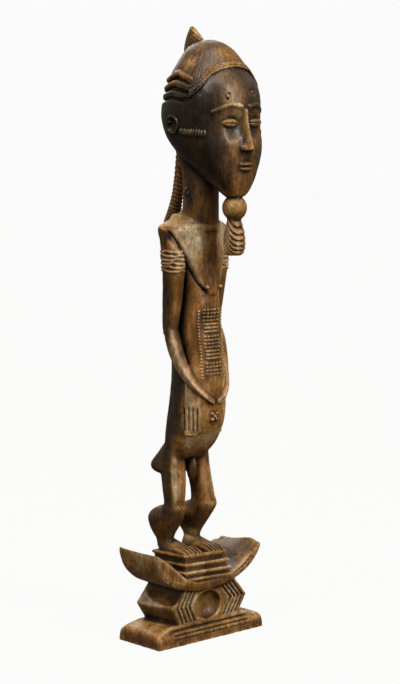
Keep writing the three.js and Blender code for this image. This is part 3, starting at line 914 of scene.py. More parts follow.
    def _block(self, wood: Carving) -> None:
        """Carves the leaning block of four steps, each with a rounded edge.

        Args:
            wood: The field to carve.
        """
        last = len(self.block_levels) - 2
        for level, (high, low) in enumerate(zip(self.block_levels, self.block_levels[1:])):
            grow = self.block_growth * level
            front = max(self.block_front - grow, self.seat_front + 0.1 + 0.25 * (last - level))
            back = self.block_back + grow
            middle = (front + back) / 2
            wall = [(low - 1, -1.9), (low + 1.2, -2.0), (high - 3.4, -1.9)]
            edge = [(high - 2.2, -0.4), (high - 1.0, 0.1), (high, -0.9)]
            rings = []
            for z, inset in smooth_rows(np.array(wall + edge, float), 3):
                half_x, half_y = self.block_half + grow + inset, (back - front) / 2 + 0.6 * inset
                ring = rounded_ring(half_x, half_y, 1.8, z)
                ring[:, 0] -= 0.035 * (ring[:, 1] + 18) * (ring[:, 0] < 0)
                ring[:, 1] += middle - 0.04 * ring[:, 0] * (ring[:, 1] < 0)
                sag = 1.1 * level / last * np.cos(np.clip(ring[:, 0] / 26, -1, 1) * np.pi / 2)
                ring[:, 2] -= self.lean * (ring[:, 0] + ring[:, 1]) + sag
                rings.append(ring)
            wood.add(skin(np.array(rings)), 0.9)


# The body


@dataclass(frozen=True)
class Feet:
    """Feet with five toes each, side by side on the block."""

    x: float = 12.6
    half: float = 10.2
    heel: float = 20.5
    toe: float = -17.5
    ground: float = 70.6
    toes: int = 5
    toe_size: Point = (1.8, 8.8, 2.3)

    def build(self, wood: Carving, marks: MarkMaker) -> None:
        """Carves both feet.

        Args:
            wood: The field to carve.
            marks: Makes the toes.
        """
        both(lambda side: self._foot(wood, side))
        toes = []
        for side in Side:
            for i in range(self.toes):
                share = (i + 0.5) / self.toes
                x = side.value * (self.x - self.half + 2 * self.half * share)
                y = self.toe + 7.0 + 2.2 * abs(share - 0.3)
                place = (x, y, self.ground + 2.0 - 0.03 * x)
                toes.append(Mark(place, self.toe_size, (13, 0, side.value * 8 * (0.4 - share))))
        wood.add(marks.make(toes[0::2]), 0.2)
        wood.add(marks.make(toes[1::2]), 0.2)

    def _foot(self, wood: Carving, side: int) -> None:
        """Carves one foot, as a wedge that falls to the toes.

        Args:
            wood: The field to carve.
            side: 1 for the left foot, -1 for the right one.
        """
        rings = []
        angle = np.linspace(0, 2 * np.pi, 48, endpoint=False)
        for share in np.linspace(0, 1, 40):
            y = self.heel - (self.heel - self.toe - 4) * share
            close = min(1.0, math.sin(math.pi * min(max(share, 0.01), 0.99)) * 3.2) ** 0.5
            wide = self.half * (0.80 + 0.20 * share) * close
            tall = (12.4 - 9.4 * share**1.05) * (0.6 + 0.4 * close)
            dx, dz = superellipse(angle, wide, tall, 2.4)
            rings.append(np.stack([side * (self.x + dx), np.full_like(dx, y), self.ground - 0.6 + dz], -1))
        wood.add(skin(np.array(rings)), 1.5)


@dataclass(frozen=True)
class Legs:
    """Bent legs with full calves."""

    shin: tuple[Station, ...] = (
        Station(68, 15.6, 5.6, 6.4, 2.2, 14.4),
        Station(79, 15.6, 5.7, 6.6, 2.2, 14.6),
        Station(85, 15.2, 7.0, 8.2, 2.3, 15.1),
        Station(94, 11.8, 9.0, 12.0, 2.4, 15.4),
        Station(102, 7.0, 9.0, 13.0, 2.5, 15.7),
        Station(107.5, 3.4, 8.8, 12.2, 2.7, 15.9),
        Station(112, 3.0, 8.2, 10.6, 2.8, 15.9),
        Station(121, 4.6, 7.8, 10.2, 2.8, 15.9),
        Station(133, 7.4, 8.0, 10.6, 2.8, 15.2),
        Station(148, 9.8, 8.8, 11.4, 2.7, 13.4),
        Station(156, 8.4, 8.8, 10.4, 2.4, 12.0),
        Station(162, 6.0, 6.0, 6.0, 2.0, 11.0),
    )
    calf: tuple[Station, ...] = (
        Station(73, 16.2, 5.6, 6.6, 2, 15.0),
        Station(80, 16.6, 6.4, 7.6, 2, 15.2),
        Station(85, 17.4, 8.6, 10.4, 2, 15.2),
        Station(91, 17.4, 10.2, 14.0, 2.1, 15.2),
        Station(97, 16.9, 10.9, 15.8, 2.1, 15.2),
        Station(102, 15.6, 10.2, 14.0, 2.1, 15.2),
        Station(106, 14.0, 7.6, 9.6, 2, 15.2),
        Station(109, 12.0, 3.0, 4.0, 2, 15.2),
    )
    facet: tuple[float, float] = (0.62, 0.78)

    def _near(self, station: Station) -> Station:
        """Slims the knee and brings the thigh forward, as on the figure's right leg.

        Args:
            station: The leg's section.

        Returns:
            The right leg's section.
        """
        knee = math.exp(-(((station.z - 110) / 9) ** 2))
        thigh = math.exp(-(((station.z - 131) / 12) ** 2))
        y = station.y + 0.8 * knee - 1.3 * thigh
        return replace(station, a=station.a - knee, b=station.b - 2.4 * knee, x=station.x - 0.65 * thigh, y=y)

    def build(self, wood: Carving) -> None:
        """Carves both legs.

        Args:
            wood: The field to carve.
        """
        for side in Side:
            shin = [self._near(s) if side is Side.RIGHT else s for s in self.shin]
            wood.add(loft(shin, side.value), 1.0)
            wood.add(loft(self.calf, side.value), 1.6)
        rows = np.array([s.row() for s in self.shin])

        def corner(x: Array, y: Array, z: Array) -> Array:
            """How far a place lies outside the flat cut along a thigh's outer front corner.

            Args:
                x: The places' X.
                y: The places' Y.
                z: The places' Z.

            Returns:
                How far each place lies over the cut.
            """
            a, b, across, along = (np.interp(z, rows[:, 0], rows[:, k]) for k in (2, 3, 5, 1))
            out, ahead = self.facet
            reach = 0.925 * ((out * a) ** 1.56 + (ahead * b) ** 1.56) ** 0.643
            level = out * (np.abs(x) - across) - ahead * (y - along) - reach
            return level - 6 * (1 - ramp(z, 106, 114) * ramp(-z, -158, -142))

        wood.keep_below((-28, -16, 104), (28, 20, 156), corner, 0.4)


@dataclass(frozen=True)
class Trunk:
    """Hips, belly, back, chest and shoulders."""

    body: tuple[Station, ...] = (
        Station(147, 8.0, 15.0, 8.6, 2.4),
        Station(151, 6.4, 18.4, 12.0, 2.5),
        Station(160, 2.0, 21.2, 16.4, 2.6),
        Station(170, -1.6, 21.0, 20.2, 2.7),
        Station(180, -4.6, 20.5, 22.2, 2.8),
        Station(192, -6.8, 19.8, 22.3, 2.9),
        Station(206, -7.8, 19.2, 21.6, 2.9),
        Station(222, -7.8, 18.4, 20.8, 3.0),
        Station(240, -6.6, 17.0, 20.4, 3.1),
        Station(262, -5.0, 16.2, 19.5, 3.1),
        Station(280, -4.8, 17.4, 20.6, 2.9),
        Station(300, -3.6, 20.0, 20.2, 2.6),
        Station(318, -1.0, 24.0, 18.4, 2.5),
        Station(332, 1.6, 26.0, 16.0, 2.4),
        Station(340, 2.6, 22.0, 12.0, 2.3),
        Station(345, 1.6, 15.0, 7.0, 2.2),
    )
    chest: tuple[Station, ...] = (
        Station(283, -18.0, 6.6, 6.4, 2.2),
        Station(288, -18.4, 9.4, 8.6, 2.4),
        Station(300, -16.0, 14.6, 11.0, 2.2),
        Station(316, -11.0, 22.8, 15.8, 1.7),
        Station(330, -8.0, 30.0, 18.6, 1.4),
        Station(337, -7.0, 32.4, 19.6, 1.35),
        Station(342, -6.8, 32.0, 20.0, 1.35),
        Station(350, -8.0, 27.0, 19.0, 1.4),
    )
    shoulders: tuple[Station, ...] = (
        Station(316, -3.2, 27.0, 9.6, 2.3),
        Station(328, -2.4, 33.0, 11.8, 2.4),
        Station(336, -2.0, 35.2, 12.4, 2.4),
        Station(340.5, -1.8, 34.4, 11.6, 2.4),
        Station(344, -2.0, 27.6, 10.8, 2.3),
        Station(348, -2.8, 19.0, 10.0, 2.2),
        Station(352, -4.4, 13.0, 9.0, 2.0),
    )
    buttock: tuple[tuple[float, float], ...] = (
        (133.6, 0.3),
        (135.6, 0.7),
        (138, 0.92),
        (141, 1.0),
        (145, 0.93),
        (150, 0.74),
        (156.5, 0.5),
        (163, 0.3),
        (170, 0.12),
    )
    bar: Point = (8.4, 1.5, 1.15)
    dot: Point = (1.3, 1.5, 0.85)
    bar_panels: tuple[float, ...] = (255.5, 233.9)
    dot_panels: tuple[float, ...] = (264.3, 242.7, 221.1)
    row_pitch: float = 2.9
    flutes: tuple[float, ...] = (-5.6, -2.3, 1.1, 4.5)
    navel: Point = (-1.0, -28.2, 186.2)
    chest_edge: tuple[tuple[float, ...], tuple[float, ...]] = (
        (287, 290, 292, 295.5, 305.4, 316.2, 327.8, 336.8, 341),
        (3.6, 6.6, 8.8, 11.2, 15.0, 19.8, 25.2, 30.4, 33.0),
    )

    def build(self, wood: Carving, marks: MarkMaker) -> None:
        """Carves the trunk with its scars.

        Args:
            wood: The field to carve.
            marks: Makes the raised scars.
        """
        wood.add(loft(self.body, sides=96), 2.0)
        wood.add(loft(self.chest), 0.5)
        wood.add(loft(self.shoulders), 1.0)

        def above(x: Array, y: Array, z: Array) -> Array:
            """How far a place lies over the planes that slope from the chest's top edge to the neck.

            Args:
                x: The places' X.
                y: The places' Y.
                z: The places' Z.

            Returns:
                How far each place lies over the planes.
            """
            edge = 338.0 + 6.0 * bump(np.abs(x), 13.0, 20.0)
            front = -26.6 + 0.605 * np.abs(x)
            return 0.8 * ((z - edge) - 0.6 * (y - front))

        wood.keep_below((-40, -34, 330), (40, 20, 356), above, 0.2)

        def beside(x: Array, y: Array, z: Array) -> Array:
            """The chest stands proud of what lies outside the V of its edge.

            Args:
                x: The places' X.
                y: The places' Y.
                z: The places' Z.

            Returns:
                How deep the wood is cut there.
            """
            edge = np.interp(z, *self.chest_edge)
            out = np.abs(x) - edge
            below = np.clip(290 - z, 0, 30)
            lip = 1.1 * groove(out, 0.9, 0.9) * ramp(z, 287, 290)
            step = 2.0 * np.clip((out + 0.1) / (0.8 + 0.6 * below), 0, 1) * ramp(z, 262, 292)
            return (step + lip) * ramp(-y, 2, 6) * ramp(-z, -339, -335)

        wood.engrave((-38, -34, 260), (38, 0, 342), beside)
        seat = [
            Station(z, 17.6 - 0.28 * max(z - 143, 0), 12.4 * full, 14.0 * full, 2.1, 11.6)
            for z, full in self.buttock
        ]
        both(lambda side: wood.add(loft(seat, side, steps=4), 1.6))
        wood.add_egg((0, -0.4, 139.5), (4.2, 4.8, 10.6), 2.0)
        self._scars(wood, marks)

    def section(self, z: float) -> Station:
        """The body's section at a height."""
        return section_at(self.body, z)

    def front(self, x: float, z: float) -> float:
        """The Y of the body's front at a place."""
        s = self.section(z)
        return s.y - s.b * (1 - min(abs(x / s.a), 0.999) ** s.n) ** (1 / s.n)

    def _scars(self, wood: Carving, marks: MarkMaker) -> None:
        """Carves the belly's ladder and beads, the flank panels, the nipples and the navel's knot.

        Args:
            wood: The field to carve.
            marks: Makes the raised scars.
        """
        middle = self.navel[0]
        ladder = []
        for low in self.bar_panels:
            for z in low + self.row_pitch * np.arange(3):
                y = self.front(self.bar[0] / 2, z) + 0.2
                ladder.append(Mark((middle, y, z), self.bar))
        for low in self.dot_panels:
            for z in low + self.row_pitch * np.arange(4):
                for x in middle + 3.5 * np.arange(-2, 3):
                    ladder.append(Mark((x, self.front(x, z) + 0.2, z), self.dot))
        beads = [
            Mark((side.value * 12.2, self.front(12.2, z) + 0.1, z), (1.05, 1.3, 1.05))
            for side in Side
            for z in np.linspace(272, 218, 22)
        ]
        wood.add(marks.make(ladder), 0.2)
        wood.add(marks.make(beads, 10), 0.2)

        def panels(x: Array, y: Array, z: Array) -> Array:
            """Flat panels along the flanks, the flutes in front of them and the line under the flutes.

            Args:
                x: The places' X.
                y: The places' Y.
                z: The places' Z.

            Returns:
                How deep the wood is cut there.
            """
            side = ramp(np.abs(x), 11, 13)
            flank = 1.0 * ramp(y, -13.2, -12.2) * ramp(-y, -11, -6) * ramp(z, 164, 172) * ramp(-z, -246, -236)
            along = -0.743 * np.abs(x) - 0.669 * y
            cuts = sum(groove(along, place, 1.1) for place in self.flutes)
            height = ramp(z, 173.0, 176.0) * ramp(-z, -195.0, -191.5)
            line = -0.8 * bump(z, 171.2, 1.1) * bump(along, -0.6, 7.5)
            return (flank + 1.15 * cuts * height + line) * side

        wood.engrave((-24, -34, 162), (24, 14, 248), panels)
        both(lambda side: wood.add_egg((side * 7, -26.8, 291.5), (1.8, 2.1, 1.7), 0.6))
        x, y, z = self.navel
        knot = [Mark((x + i * 2.3, y, z + k * 2.3), (1.5, 2.6, 1.5)) for i in (-1, 1) for k in (-1, 1)]
        wood.add(marks.make(knot), 0.2)
        wood.add_egg(self.navel, (1.4, 3.2, 1.4), 0.2)


@dataclass(frozen=True)
class Arms:
    """Arms held to the body, with the hands on the belly."""

    upper: tuple[Station, ...] = (
        Station(253, -0.6, 5.2, 6.0, 2.3, 23.6),
        Station(262, 0.0, 5.8, 7.0, 2.4, 22.8),
        Station(278, -1.8, 6.0, 8.6, 2.6, 22.8),
        Station(295, -3.6, 6.2, 9.8, 2.6, 23.2),
        Station(310, -4.6, 6.6, 10.6, 2.6, 23.8),
        Station(326, -3.6, 7.0, 10.0, 2.5, 25.0),
        Station(338, -2.6, 7.0, 9.0, 2.4, 26.0),
    )
    lower: tuple[tuple[float, ...], ...] = (
        (22.6, 1.4, 261, 5.6, 6.0),
        (24.0, -4.2, 248, 6.2, 6.6),
        (23.2, -9.6, 234, 6.0, 6.0),
        (20.6, -15.4, 222, 5.0, 5.0),
        (15.8, -23.2, 210.4, 3.5, 3.7),
        (9.8, -28.0, 203.2, 2.8, 3.0),
        (5.4, -29.4, 199.8, 2.3, 2.3),
        (2.2, -29.8, 197.8, 1.2, 1.2),
    )
    fingers: tuple[tuple[float, float], ...] = ((1.5, 0.0), (0.0, -0.5), (-1.5, 0.4))
    scar_rows: int = 6
    scar_span: tuple[float, float] = (304.8, 320.2)
    scar_turn: tuple[float, float] = (-128, 72)

    def build(self, wood: Carving, marks: MarkMaker) -> None:
        """Carves both arms with their scars.

        Args:
            wood: The field to carve.
            marks: Makes the raised scars.
        """
        fingers = []
        for side in Side:
            wood.add(loft(self.upper, side.value), 0.8)
            wood.add(sweep(self.lower, reference=(0.75, -0.66, 0), side=side.value, sides=32, n=1.35), 0.6)
            for lift, reach in self.fingers:
                finger = (side.value * (5.6 + reach), -30.4, 199.9 + lift)
                fingers.append(Mark(finger, (4.6, 1.6, 0.72), (0, side.value * -30, side.value * -12)))
        wood.add(marks.make(fingers), 0.1)

        def over(x: Array, y: Array, z: Array) -> Array:
            """The chest's edge runs on over the front of the arm, up to the shoulder.

            Args:
                x: The places' X.
                y: The places' Y.
                z: The places' Z.

            Returns:
                How deep the wood is cut there.
            """
            out = np.abs(x) - np.interp(z, *Trunk.chest_edge)
            within = ramp(-y, 5, 8) * ramp(z, 320, 324) * ramp(-z, -339.5, -337)
            return (1.5 * ramp(out, -0.1, 0.8) * ramp(-out, -7, -3) + 0.9 * groove(out, 1.0, 0.9)) * within

        wood.engrave((-36, -24, 318), (36, -4, 341), over)
        self._scars(wood)

    def _scars(self, wood: Carving) -> None:
        """Carves wavy ridges round the outside of each upper arm.

        Args:
            wood: The field to carve.
        """
        turns = np.radians(np.linspace(*self.scar_turn, 41))
        for side in Side:
            for i, z in enumerate(np.linspace(*self.scar_span, self.scar_rows)):
                s = section_at(self.upper, z)
                dx, dy = superellipse(turns, s.a - 0.2, s.b - 0.1, s.n)
                wave = 0.55 * np.sin(3.1 * turns + 1.7 * i) + 0.3 * np.sin(7.3 * turns + 2.9 * i)
                size = 1.12 + 0.2 * np.sin(5 * turns + i)
                end = np.clip(np.minimum(turns - turns[0], turns[-1] - turns) * 5, 0.2, 1)
                path = np.stack([s.x + dx, s.y + dy, z + wave, 1.15 * end, size * end], axis=-1)
                wood.add(sweep(path, reference=(0, 0, 1), side=side.value, steps=1, sides=12), 0.25)


# The head


@dataclass(frozen=True)
class Head:
    """Neck, head and a plain carved face."""

    neck: tuple[Station, ...] = (
        Station(338, -10.4, 15.0, 16.0),
        Station(350, -11.0, 14.4, 15.4),
        Station(366, -11.4, 14.0, 15.2),
        Station(384, -10.8, 15.0, 15.4),
        Station(400, -9.0, 19.0, 17.0),
        Station(410, -10.0, 22.0, 20.0),
    )
    skull: tuple[Station, ...] = (
        Station(364, -50.0, 5.0, 4.6, 2.0),
        Station(367.5, -50.2, 10.0, 9.4, 2.2, 0, 0.1),
        Station(376, -45.6, 16.4, 16.8, 2.3, 0, 0.16),
        Station(387, -38.8, 23.0, 25.0, 2.3, 0, 0.2),
        Station(398, -31.2, 29.4, 33.2, 2.3, 0, 0.18),
        Station(408, -26.8, 33.0, 38.0, 2.3, 0, 0.1),
        Station(418, -23.8, 34.6, 39.6, 2.3, 0, 0.03),
        Station(430, -22.8, 35.6, 40.4, 2.3),
        Station(442, -24.0, 35.2, 39.4, 2.3),
        Station(453, -24.2, 32.6, 36.4, 2.3),
        Station(463, -23.4, 27.8, 30.6, 2.2),
        Station(472, -22.6, 22.8, 25.0, 2.1),
        Station(480, -21.6, 17.2, 19.4, 2.0),
        Station(485, -20.6, 10.6, 12.4, 2.0),
        Station(487.6, -20.0, 4.0, 5.0, 2.0),
    )
    brow_z: float = 434.5
    nose_length: float = 32.0
    eye: tuple[float, float] = (13.2, 424.0)
    mouth_z: float = 389.5
    ear: tuple[float, float] = (-15.6, 421.8)
    knobs: tuple[tuple[float, float], ...] = ((-15.6, 444.6), (9.5, 447.5))
    neck_knobs: tuple[Point, ...] = ((14.2, -7.6, 367.6), (14.2, -11.4, 367.0), (14.2, -9.5, 370.2))

    def build(self, wood: Carving, marks: MarkMaker) -> None:
        """Carves neck, head, face and ears.

        Args:
            wood: The field to carve.
            marks: Makes the small knobs and ticks.
        """
        wood.add(loft(self.skull, sides=120), 0.0)
        wood.add(loft(self.neck), 2.5)
        self._face(wood)
        both(lambda side: self._ear(wood, side))
        self._marks(wood, marks)

    def section(self, z: float) -> Station:
        """The head's section at a height."""
        return section_at(self.skull, z)

    def front(self, x: float, z: float) -> float:
        """The Y of the head's front at a place."""
        s = self.section(z)
        return s.y - s.b * (1 - min(abs(x / s.a), 0.98) ** s.n) ** (1 / s.n)

    def at(self, degrees: float, z: float, out: float = 0.0) -> Point:
        """Finds a place on the head.

        Args:
            degrees: The direction; 0 is its left side, -90 its front and 90 its back.
            z: The height.
            out: How far the place lies outside the skin.

        Returns:
            The place.
        """
        s = self.section(z)
        dx, dy = superellipse(np.radians(np.array([degrees])), s.a + out, s.b + out, s.n, s.taper)
        return float(dx[0]), s.y + float(dy[0]), z

    def _face(self, wood: Carving) -> None:
        """Carves a plain face, with brows that run into a slim nose.

        Args:
            wood: The field to carve.
        """
        eye_x, eye_z = self.eye
        for side in (-1, 1):
            wood.cut_egg((side * 13.5, self.front(13, 423) - 3.6, 421), (11.5, 5.6, 11), 2.5)
            path = []
            for share in np.linspace(0, 1, 9):
                x = 3.2 + 23.4 * share
                z = self.brow_z + 5.4 * math.sin(math.pi * (0.1 + 0.8 * share)) - 4.4 * share
                radius = 1.9 - 0.9 * share
                path.append((x, self.front(x, z) + 0.3, z, radius, radius))
            wood.add(sweep(path, reference=(0, 0, 1), side=side, sides=16), 1.2)
            lid = self.front(eye_x, eye_z)
            wood.add_egg((side * eye_x, lid + 2.4, eye_z), (7.4, 3.6, 3.9), 0.8)
        nose = []
        for share in (1.0, 0.97, 0.9, 0.78, 0.55, 0.3, 0.0):
            z = self.brow_z - self.nose_length * share
            rise = 1.2 + 6.4 * share**1.15 * (0.82 if share == 1.0 else 1)
            wide = 2.9 + 3.4 * max(0.0, (share - 0.62) / 0.38) ** 1.6
            nose.append(Station(z, self.front(0, z) + 1.6, wide, rise + 2.0, 1.8))
        wood.add(loft(nose, sides=32), 1.4)
        wing = self.front(4, 404.5) - 1.0
        both(lambda side: wood.add_egg((side * 4.2, wing, 404.6), (2.6, 3.4, 2.5), 1.2))
        lips = self.front(0, self.mouth_z)
        wood.add_egg((0, lips + 0.3, 391.4), (6.8, 2.9, 1.9), 0.8)
        wood.add_egg((0, lips + 0.5, 387.8), (6.0, 2.9, 1.9), 0.8)

        def lines(x: Array, y: Array, z: Array) -> Array:
            """Slits of the eyes and the mouth.

            Args:
                x: The places' X.
                y: The places' Y.
                z: The places' Z.

            Returns:
                How deep the wood is cut there.
            """
            wide = np.abs(np.abs(x) - eye_x)
            slit = groove(z, 423.6, 0.7) * (wide < 6.2) * 1.0
            arch = 3.4 * np.sqrt(np.clip(1 - (wide / 7.6) ** 2, 0, 1))
            lid = groove(z - eye_z - arch, 0.0, 0.7) * (wide < 7.4) * 0.6
            mouth = groove(z, 389.6, 0.6) * (np.abs(x) < 6.2) * 1.1
            return np.where(y < -48, slit + lid + mouth, 0.0)

        wood.engrave((-24, -76, 384), (24, -48, 432), lines)

    def _ear(self, wood: Carving, side: int) -> None:
        """Carves one ear, as a coiled rim round a hollow.

        Args:
            wood: The field to carve.
            side: 1 for the left ear, -1 for the right one.
        """
        middle = self.ear
        x = self.section(middle[1]).a - 0.4
        path = []
        for t in np.linspace(-0.35 * np.pi, 2.3 * np.pi, 61):
            close = 1 - 0.5 * max(0.0, (t - 1.4 * np.pi) / (0.9 * np.pi))
            y = middle[0] + 7.2 * close * math.cos(t)
            path.append((x - 0.004 * (y + 24) ** 2, y, middle[1] + 6.6 * close * math.sin(t), 1.25, 2.0))
        wood.cut_egg((side * (x + 1.2), *middle), (2.6, 6.4, 6.0), 0.6)
        wood.add(sweep(path, reference=(1, 0, 0), side=side, steps=2, sides=12), 0.3)

    def _marks(self, wood: Carving, marks: MarkMaker) -> None:
        """Carves the row of ticks before each ear, and the knobs of forehead and neck.

        Args:
            wood: The field to carve.
            marks: Makes the ticks and the knobs.
        """
        ticks = []
        for side in Side:
            for y in np.linspace(-25.5, -48.5, 11):
                z = 416.4 + 0.05 * (y + 28)
                s = self.section(z)
                share = min(abs((y - s.y) / s.b), 0.999)
                across = s.a * (1 - share**s.n) ** (1 / s.n) * (1 + s.taper * share ** (s.n / 2))
                ticks.append(Mark((side.value * (across + 0.3), y, z), (1.5, 0.85, 3.2)))
        wood.add(marks.make(ticks, 10), 0.1)
        for x, z in self.knobs:
            knob = (x, self.front(x, z), z)
            wood.cut_egg(knob, (3.3, 0.7, 3.3), 0.3)
            wood.add_egg(knob, (1.8, 1.1, 1.8), 0.2)
        cluster = [
            Mark((side.value * dx, dy, z), (1.6, 1.6, 1.6))
            for side in Side
            for dx, dy, z in self.neck_knobs
        ]
        wood.add(marks.make(cluster), 0.2)


@dataclass(frozen=True)
class Hair:
    """Cap, hairline band, rolls, crest, plait and beard."""

    head: Head
    crest: tuple[tuple[float, float, float, float], ...] = (
        (458, 6.0, -12.0, 4.6),
        (474, 8.2, -22.0, 4.6),
        (482, 8.2, -20.0, 4.2),
        (487, 7.2, -16.0, 3.6),
        (492, 5.6, -12.0, 2.8),
        (497, 2.8, -6.4, 1.9),
        (500, 0.9, -1.9, 1.0),
    )
    plait: tuple[tuple[float, ...], ...] = (
        (0, 10.0, 408, 3.4, 3.2),
        (0, 12.4, 400, 3.9, 3.5),
        (0, 14.5, 380, 4.2, 3.8),
        (0, 17.0, 364, 4.8, 4.1),
        (0, 21.0, 350, 6.2, 4.5),
        (0, 24.4, 340, 7.4, 4.8),
        (0, 22.4, 331, 6.8, 4.8),
        (0, 17.4, 323, 4.6, 4.0),
    )
    beard: tuple[Station, ...] = (
        Station(318.6, -50.6, 4.6, 4.8, 2.4),
        Station(320.2, -50.8, 6.8, 7.2, 2.4),
        Station(326, -51.0, 8.0, 8.6, 2.4),
        Station(334, -51.0, 8.0, 8.6, 2.3),
        Station(341, -50.8, 7.0, 7.4, 2.2),
        Station(346, -50.6, 5.8, 6.0),
        Station(350, -50.6, 5.6, 5.8),
    )
    beard_knob: tuple[Point, Point] = ((0, -51.0, 356.6), (9.9, 9.9, 10.4))
    line: tuple[tuple[float, ...], tuple[float, ...]] = (
        (-20, 13, 28, 36.6, 42.7, 58, 76, 90),
        (439.5, 443.5, 451.2, 457.8, 461.6, 465.4, 467.3, 468),
    )
    band: tuple[tuple[float, ...], tuple[float, ...]] = ((12, 30, 45, 90), (8.0, 6.2, 4.0, 3.0))
    rolls: tuple[tuple[float, ...], ...] = (
        (462.2, 456.6, 23, 3.0, 2.0),
        (454.4, 450.0, 30, 3.0, 3.0),
        (446.6, 443.8, 22, 2.9, 3.6),
    )
    cap_rise: float = 1.1
    hatch_pitch: float = 2.4
    plait_turns: int = 34
    strand_pitch: float = 4.3

    def build(self, wood: Carving, marks: MarkMaker) -> None:
        """Carves the hair.

        Args:
            wood: The field to carve.
            marks: Makes the band's notches.
        """
        self._cap(wood)
        self._rolls(wood)
        self._band(wood, marks)
        self._crest(wood)
        self._plait(wood)
        self._beard(wood)

    def hairline(self, degrees: Array) -> Array:
        """The height of the cap's edge, by the angle forward from the side."""
        return np.interp(degrees, *self.line)

    def _forward(self, x: Array, y: Array) -> Array:
        """The angle forward from the side, in degrees."""
        return np.degrees(np.arctan2(-(y + 24.0), np.abs(x) + 1e-4))

    def _cap(self, wood: Carving) -> None:
        """Raises the cap over the head.

        Args:
            wood: The field to carve.
        """

        def raised(x: Array, y: Array, z: Array) -> Array:
            """The cap stands proud of the head, with fine strands.

            Args:
                x: The places' X.
                y: The places' Y.
                z: The places' Z.

            Returns:
                How deep the wood is cut there, below zero where it is raised.
            """
            forward = self._forward(x, y)
            edge = np.where(forward > -8, self.hairline(forward), 462.0)
            over = ramp(z - edge, -0.6, 0.6)
            wavy = np.radians(forward) + 0.006 * np.sin(0.55 * z)
            strands = (np.cos(wavy * 88) * 0.10 + np.cos(wavy * 31) * 0.06) * ramp(forward, -10, 10)
            return -(self.cap_rise + strands) * over

        wood.engrave((-38, -70, 438), (38, 20, 492), raised)

    def _band_width(self, forward: float) -> float:
        """The band's height at an angle forward from the side."""
        return float(np.interp(forward, *self.band))

    def _band(self, wood: Carving, marks: MarkMaker) -> None:
        """Carves the band along the hairline, as two cords with notches between them.

        Args:
            wood: The field to carve.
            marks: Makes the notches.
        """
        for side in (-1, 1):
            for lift, size in ((1.0, 0.8), (0.0, 0.9)):
                path = []
                for forward in np.linspace(12, 90, 30):
                    z = float(self.hairline(forward)) + lift * self._band_width(forward)
                    x, y, _ = self.head.at(-forward, z, 1.4)
                    path.append((x, y, z, size, size))
                wood.add(sweep(path, reference=(0, 0, 1), side=side, steps=2, sides=10), 0.3)
        notches = []
        for side in Side:
            for forward in np.linspace(13, 89, 34):
                rows = 2 if forward < 38 else 1
                for row in range(rows):
                    lift = (row + 0.75) / (rows + 0.5) * self._band_width(forward)
                    z = float(self.hairline(forward)) + lift
                    x, y, _ = self.head.at(-forward - (row % 2) * 1.1, z, 1.2)
                    turn = (0, side.value * 30 * (1 - 2 * (row % 2)), side.value * -forward)
                    notches.append(Mark((side.value * x, y, z), (1.0, 0.72, 1.3), turn))
        wood.add(marks.make(notches, 8), 0.0)

    def _rolls(self, wood: Carving) -> None:
        """Carves the rolls round the back of the head, each over a gap.

        Args:
            wood: The field to carve.
        """
        for peak, settled, reach, size, sunk in self.rolls:
            path, gap = [], []
            for degrees in np.linspace(-reach, 180 + reach, 61):
                behind = degrees if degrees < 90 else 180 - degrees
                hump = math.exp(-(((behind - 12) / 20) ** 2))
                z = settled + (peak - settled) * hump
                end = min(1.0, (behind + reach) / 12 + 0.3)
                x, y, _ = self.head.at(degrees, z, -sunk)
                path.append((x, y, z, 4.4 * end, size * end))
                x, y, _ = self.head.at(degrees, z - 3.8, 0.6)
                short = float(np.clip((behind + reach - 9) / 9, 0.1, 1.0))
                gap.append((x, y, z - 3.8, 2.6 * short, 1.5 * short))
            wood.cut(sweep(gap, reference=(0, 0, 1), steps=2, sides=16), 0.5)
            wood.add(sweep(path, reference=(0, 0, 1), steps=2, sides=16, n=2.2), 0.0)

    def _crest(self, wood: Carving) -> None:
        """Carves the pointed crest.

        Args:
            wood: The field to carve.
        """
        rows = [
            Station(z, (back + front) / 2, width, (back - front) / 2, 1.9)
            for z, back, front, width in self.crest
        ]
        wood.add(loft(rows, sides=48), 1.6)

        def hatch(x: Array, y: Array, z: Array) -> Array:
            """Slanting lines on the crest's sides.

            Args:
                x: The places' X.
                y: The places' Y.
                z: The places' Z.

            Returns:
                How deep the wood is cut there.
            """
            line = 0.5 + 0.5 * np.cos((0.86 * z - 0.5 * y) * (2 * np.pi / self.hatch_pitch))
            return 0.42 * line**2 * ramp(z, 483, 486) * np.ones_like(x)

        wood.engrave((-6, -20, 482), (6, 10, 500.5), hatch)

    def _plait(self, wood: Carving) -> None:
        """Carves the plait that hangs from the back of the head.

        Args:
            wood: The field to carve.
        """

        def turns(share: float, angle: Array) -> Array:
            """Strands that wind round the plait."""
            return 0.90 + 0.19 * np.abs(np.sin(np.pi * self.plait_turns * share - angle))

        wood.add(sweep(self.plait, steps=64, sides=64, swell=turns), 0.5)

    def _beard(self, wood: Carving) -> None:
        """Carves the plaited beard under its round knob.

        Args:
            wood: The field to carve.
        """
        wood.add_egg(*self.beard_knob, 1.0)
        wood.add(loft(self.beard), 0.8)

        def strands(x: Array, y: Array, z: Array) -> Array:
            """Strands that slant down to the front, as rounded ridges.

            Args:
                x: The places' X.
                y: The places' Y.
                z: The places' Z.

            Returns:
                How deep the wood is cut there.
            """
            turn = (z - 1.05 * (y + 50.6) + 0.35 * np.abs(x)) / self.strand_pitch
            within = ramp(z, 317, 320) * ramp(-z, -347.5, -345) * ramp(-y, 38, 41)
            return 2.3 * (1 - np.abs(np.sin(np.pi * turn))) ** 1.2 * within * ramp(-np.abs(x), -13, -11)

        wood.engrave((-14, -66, 316), (14, -36, 348), strands)


# Surface and finish


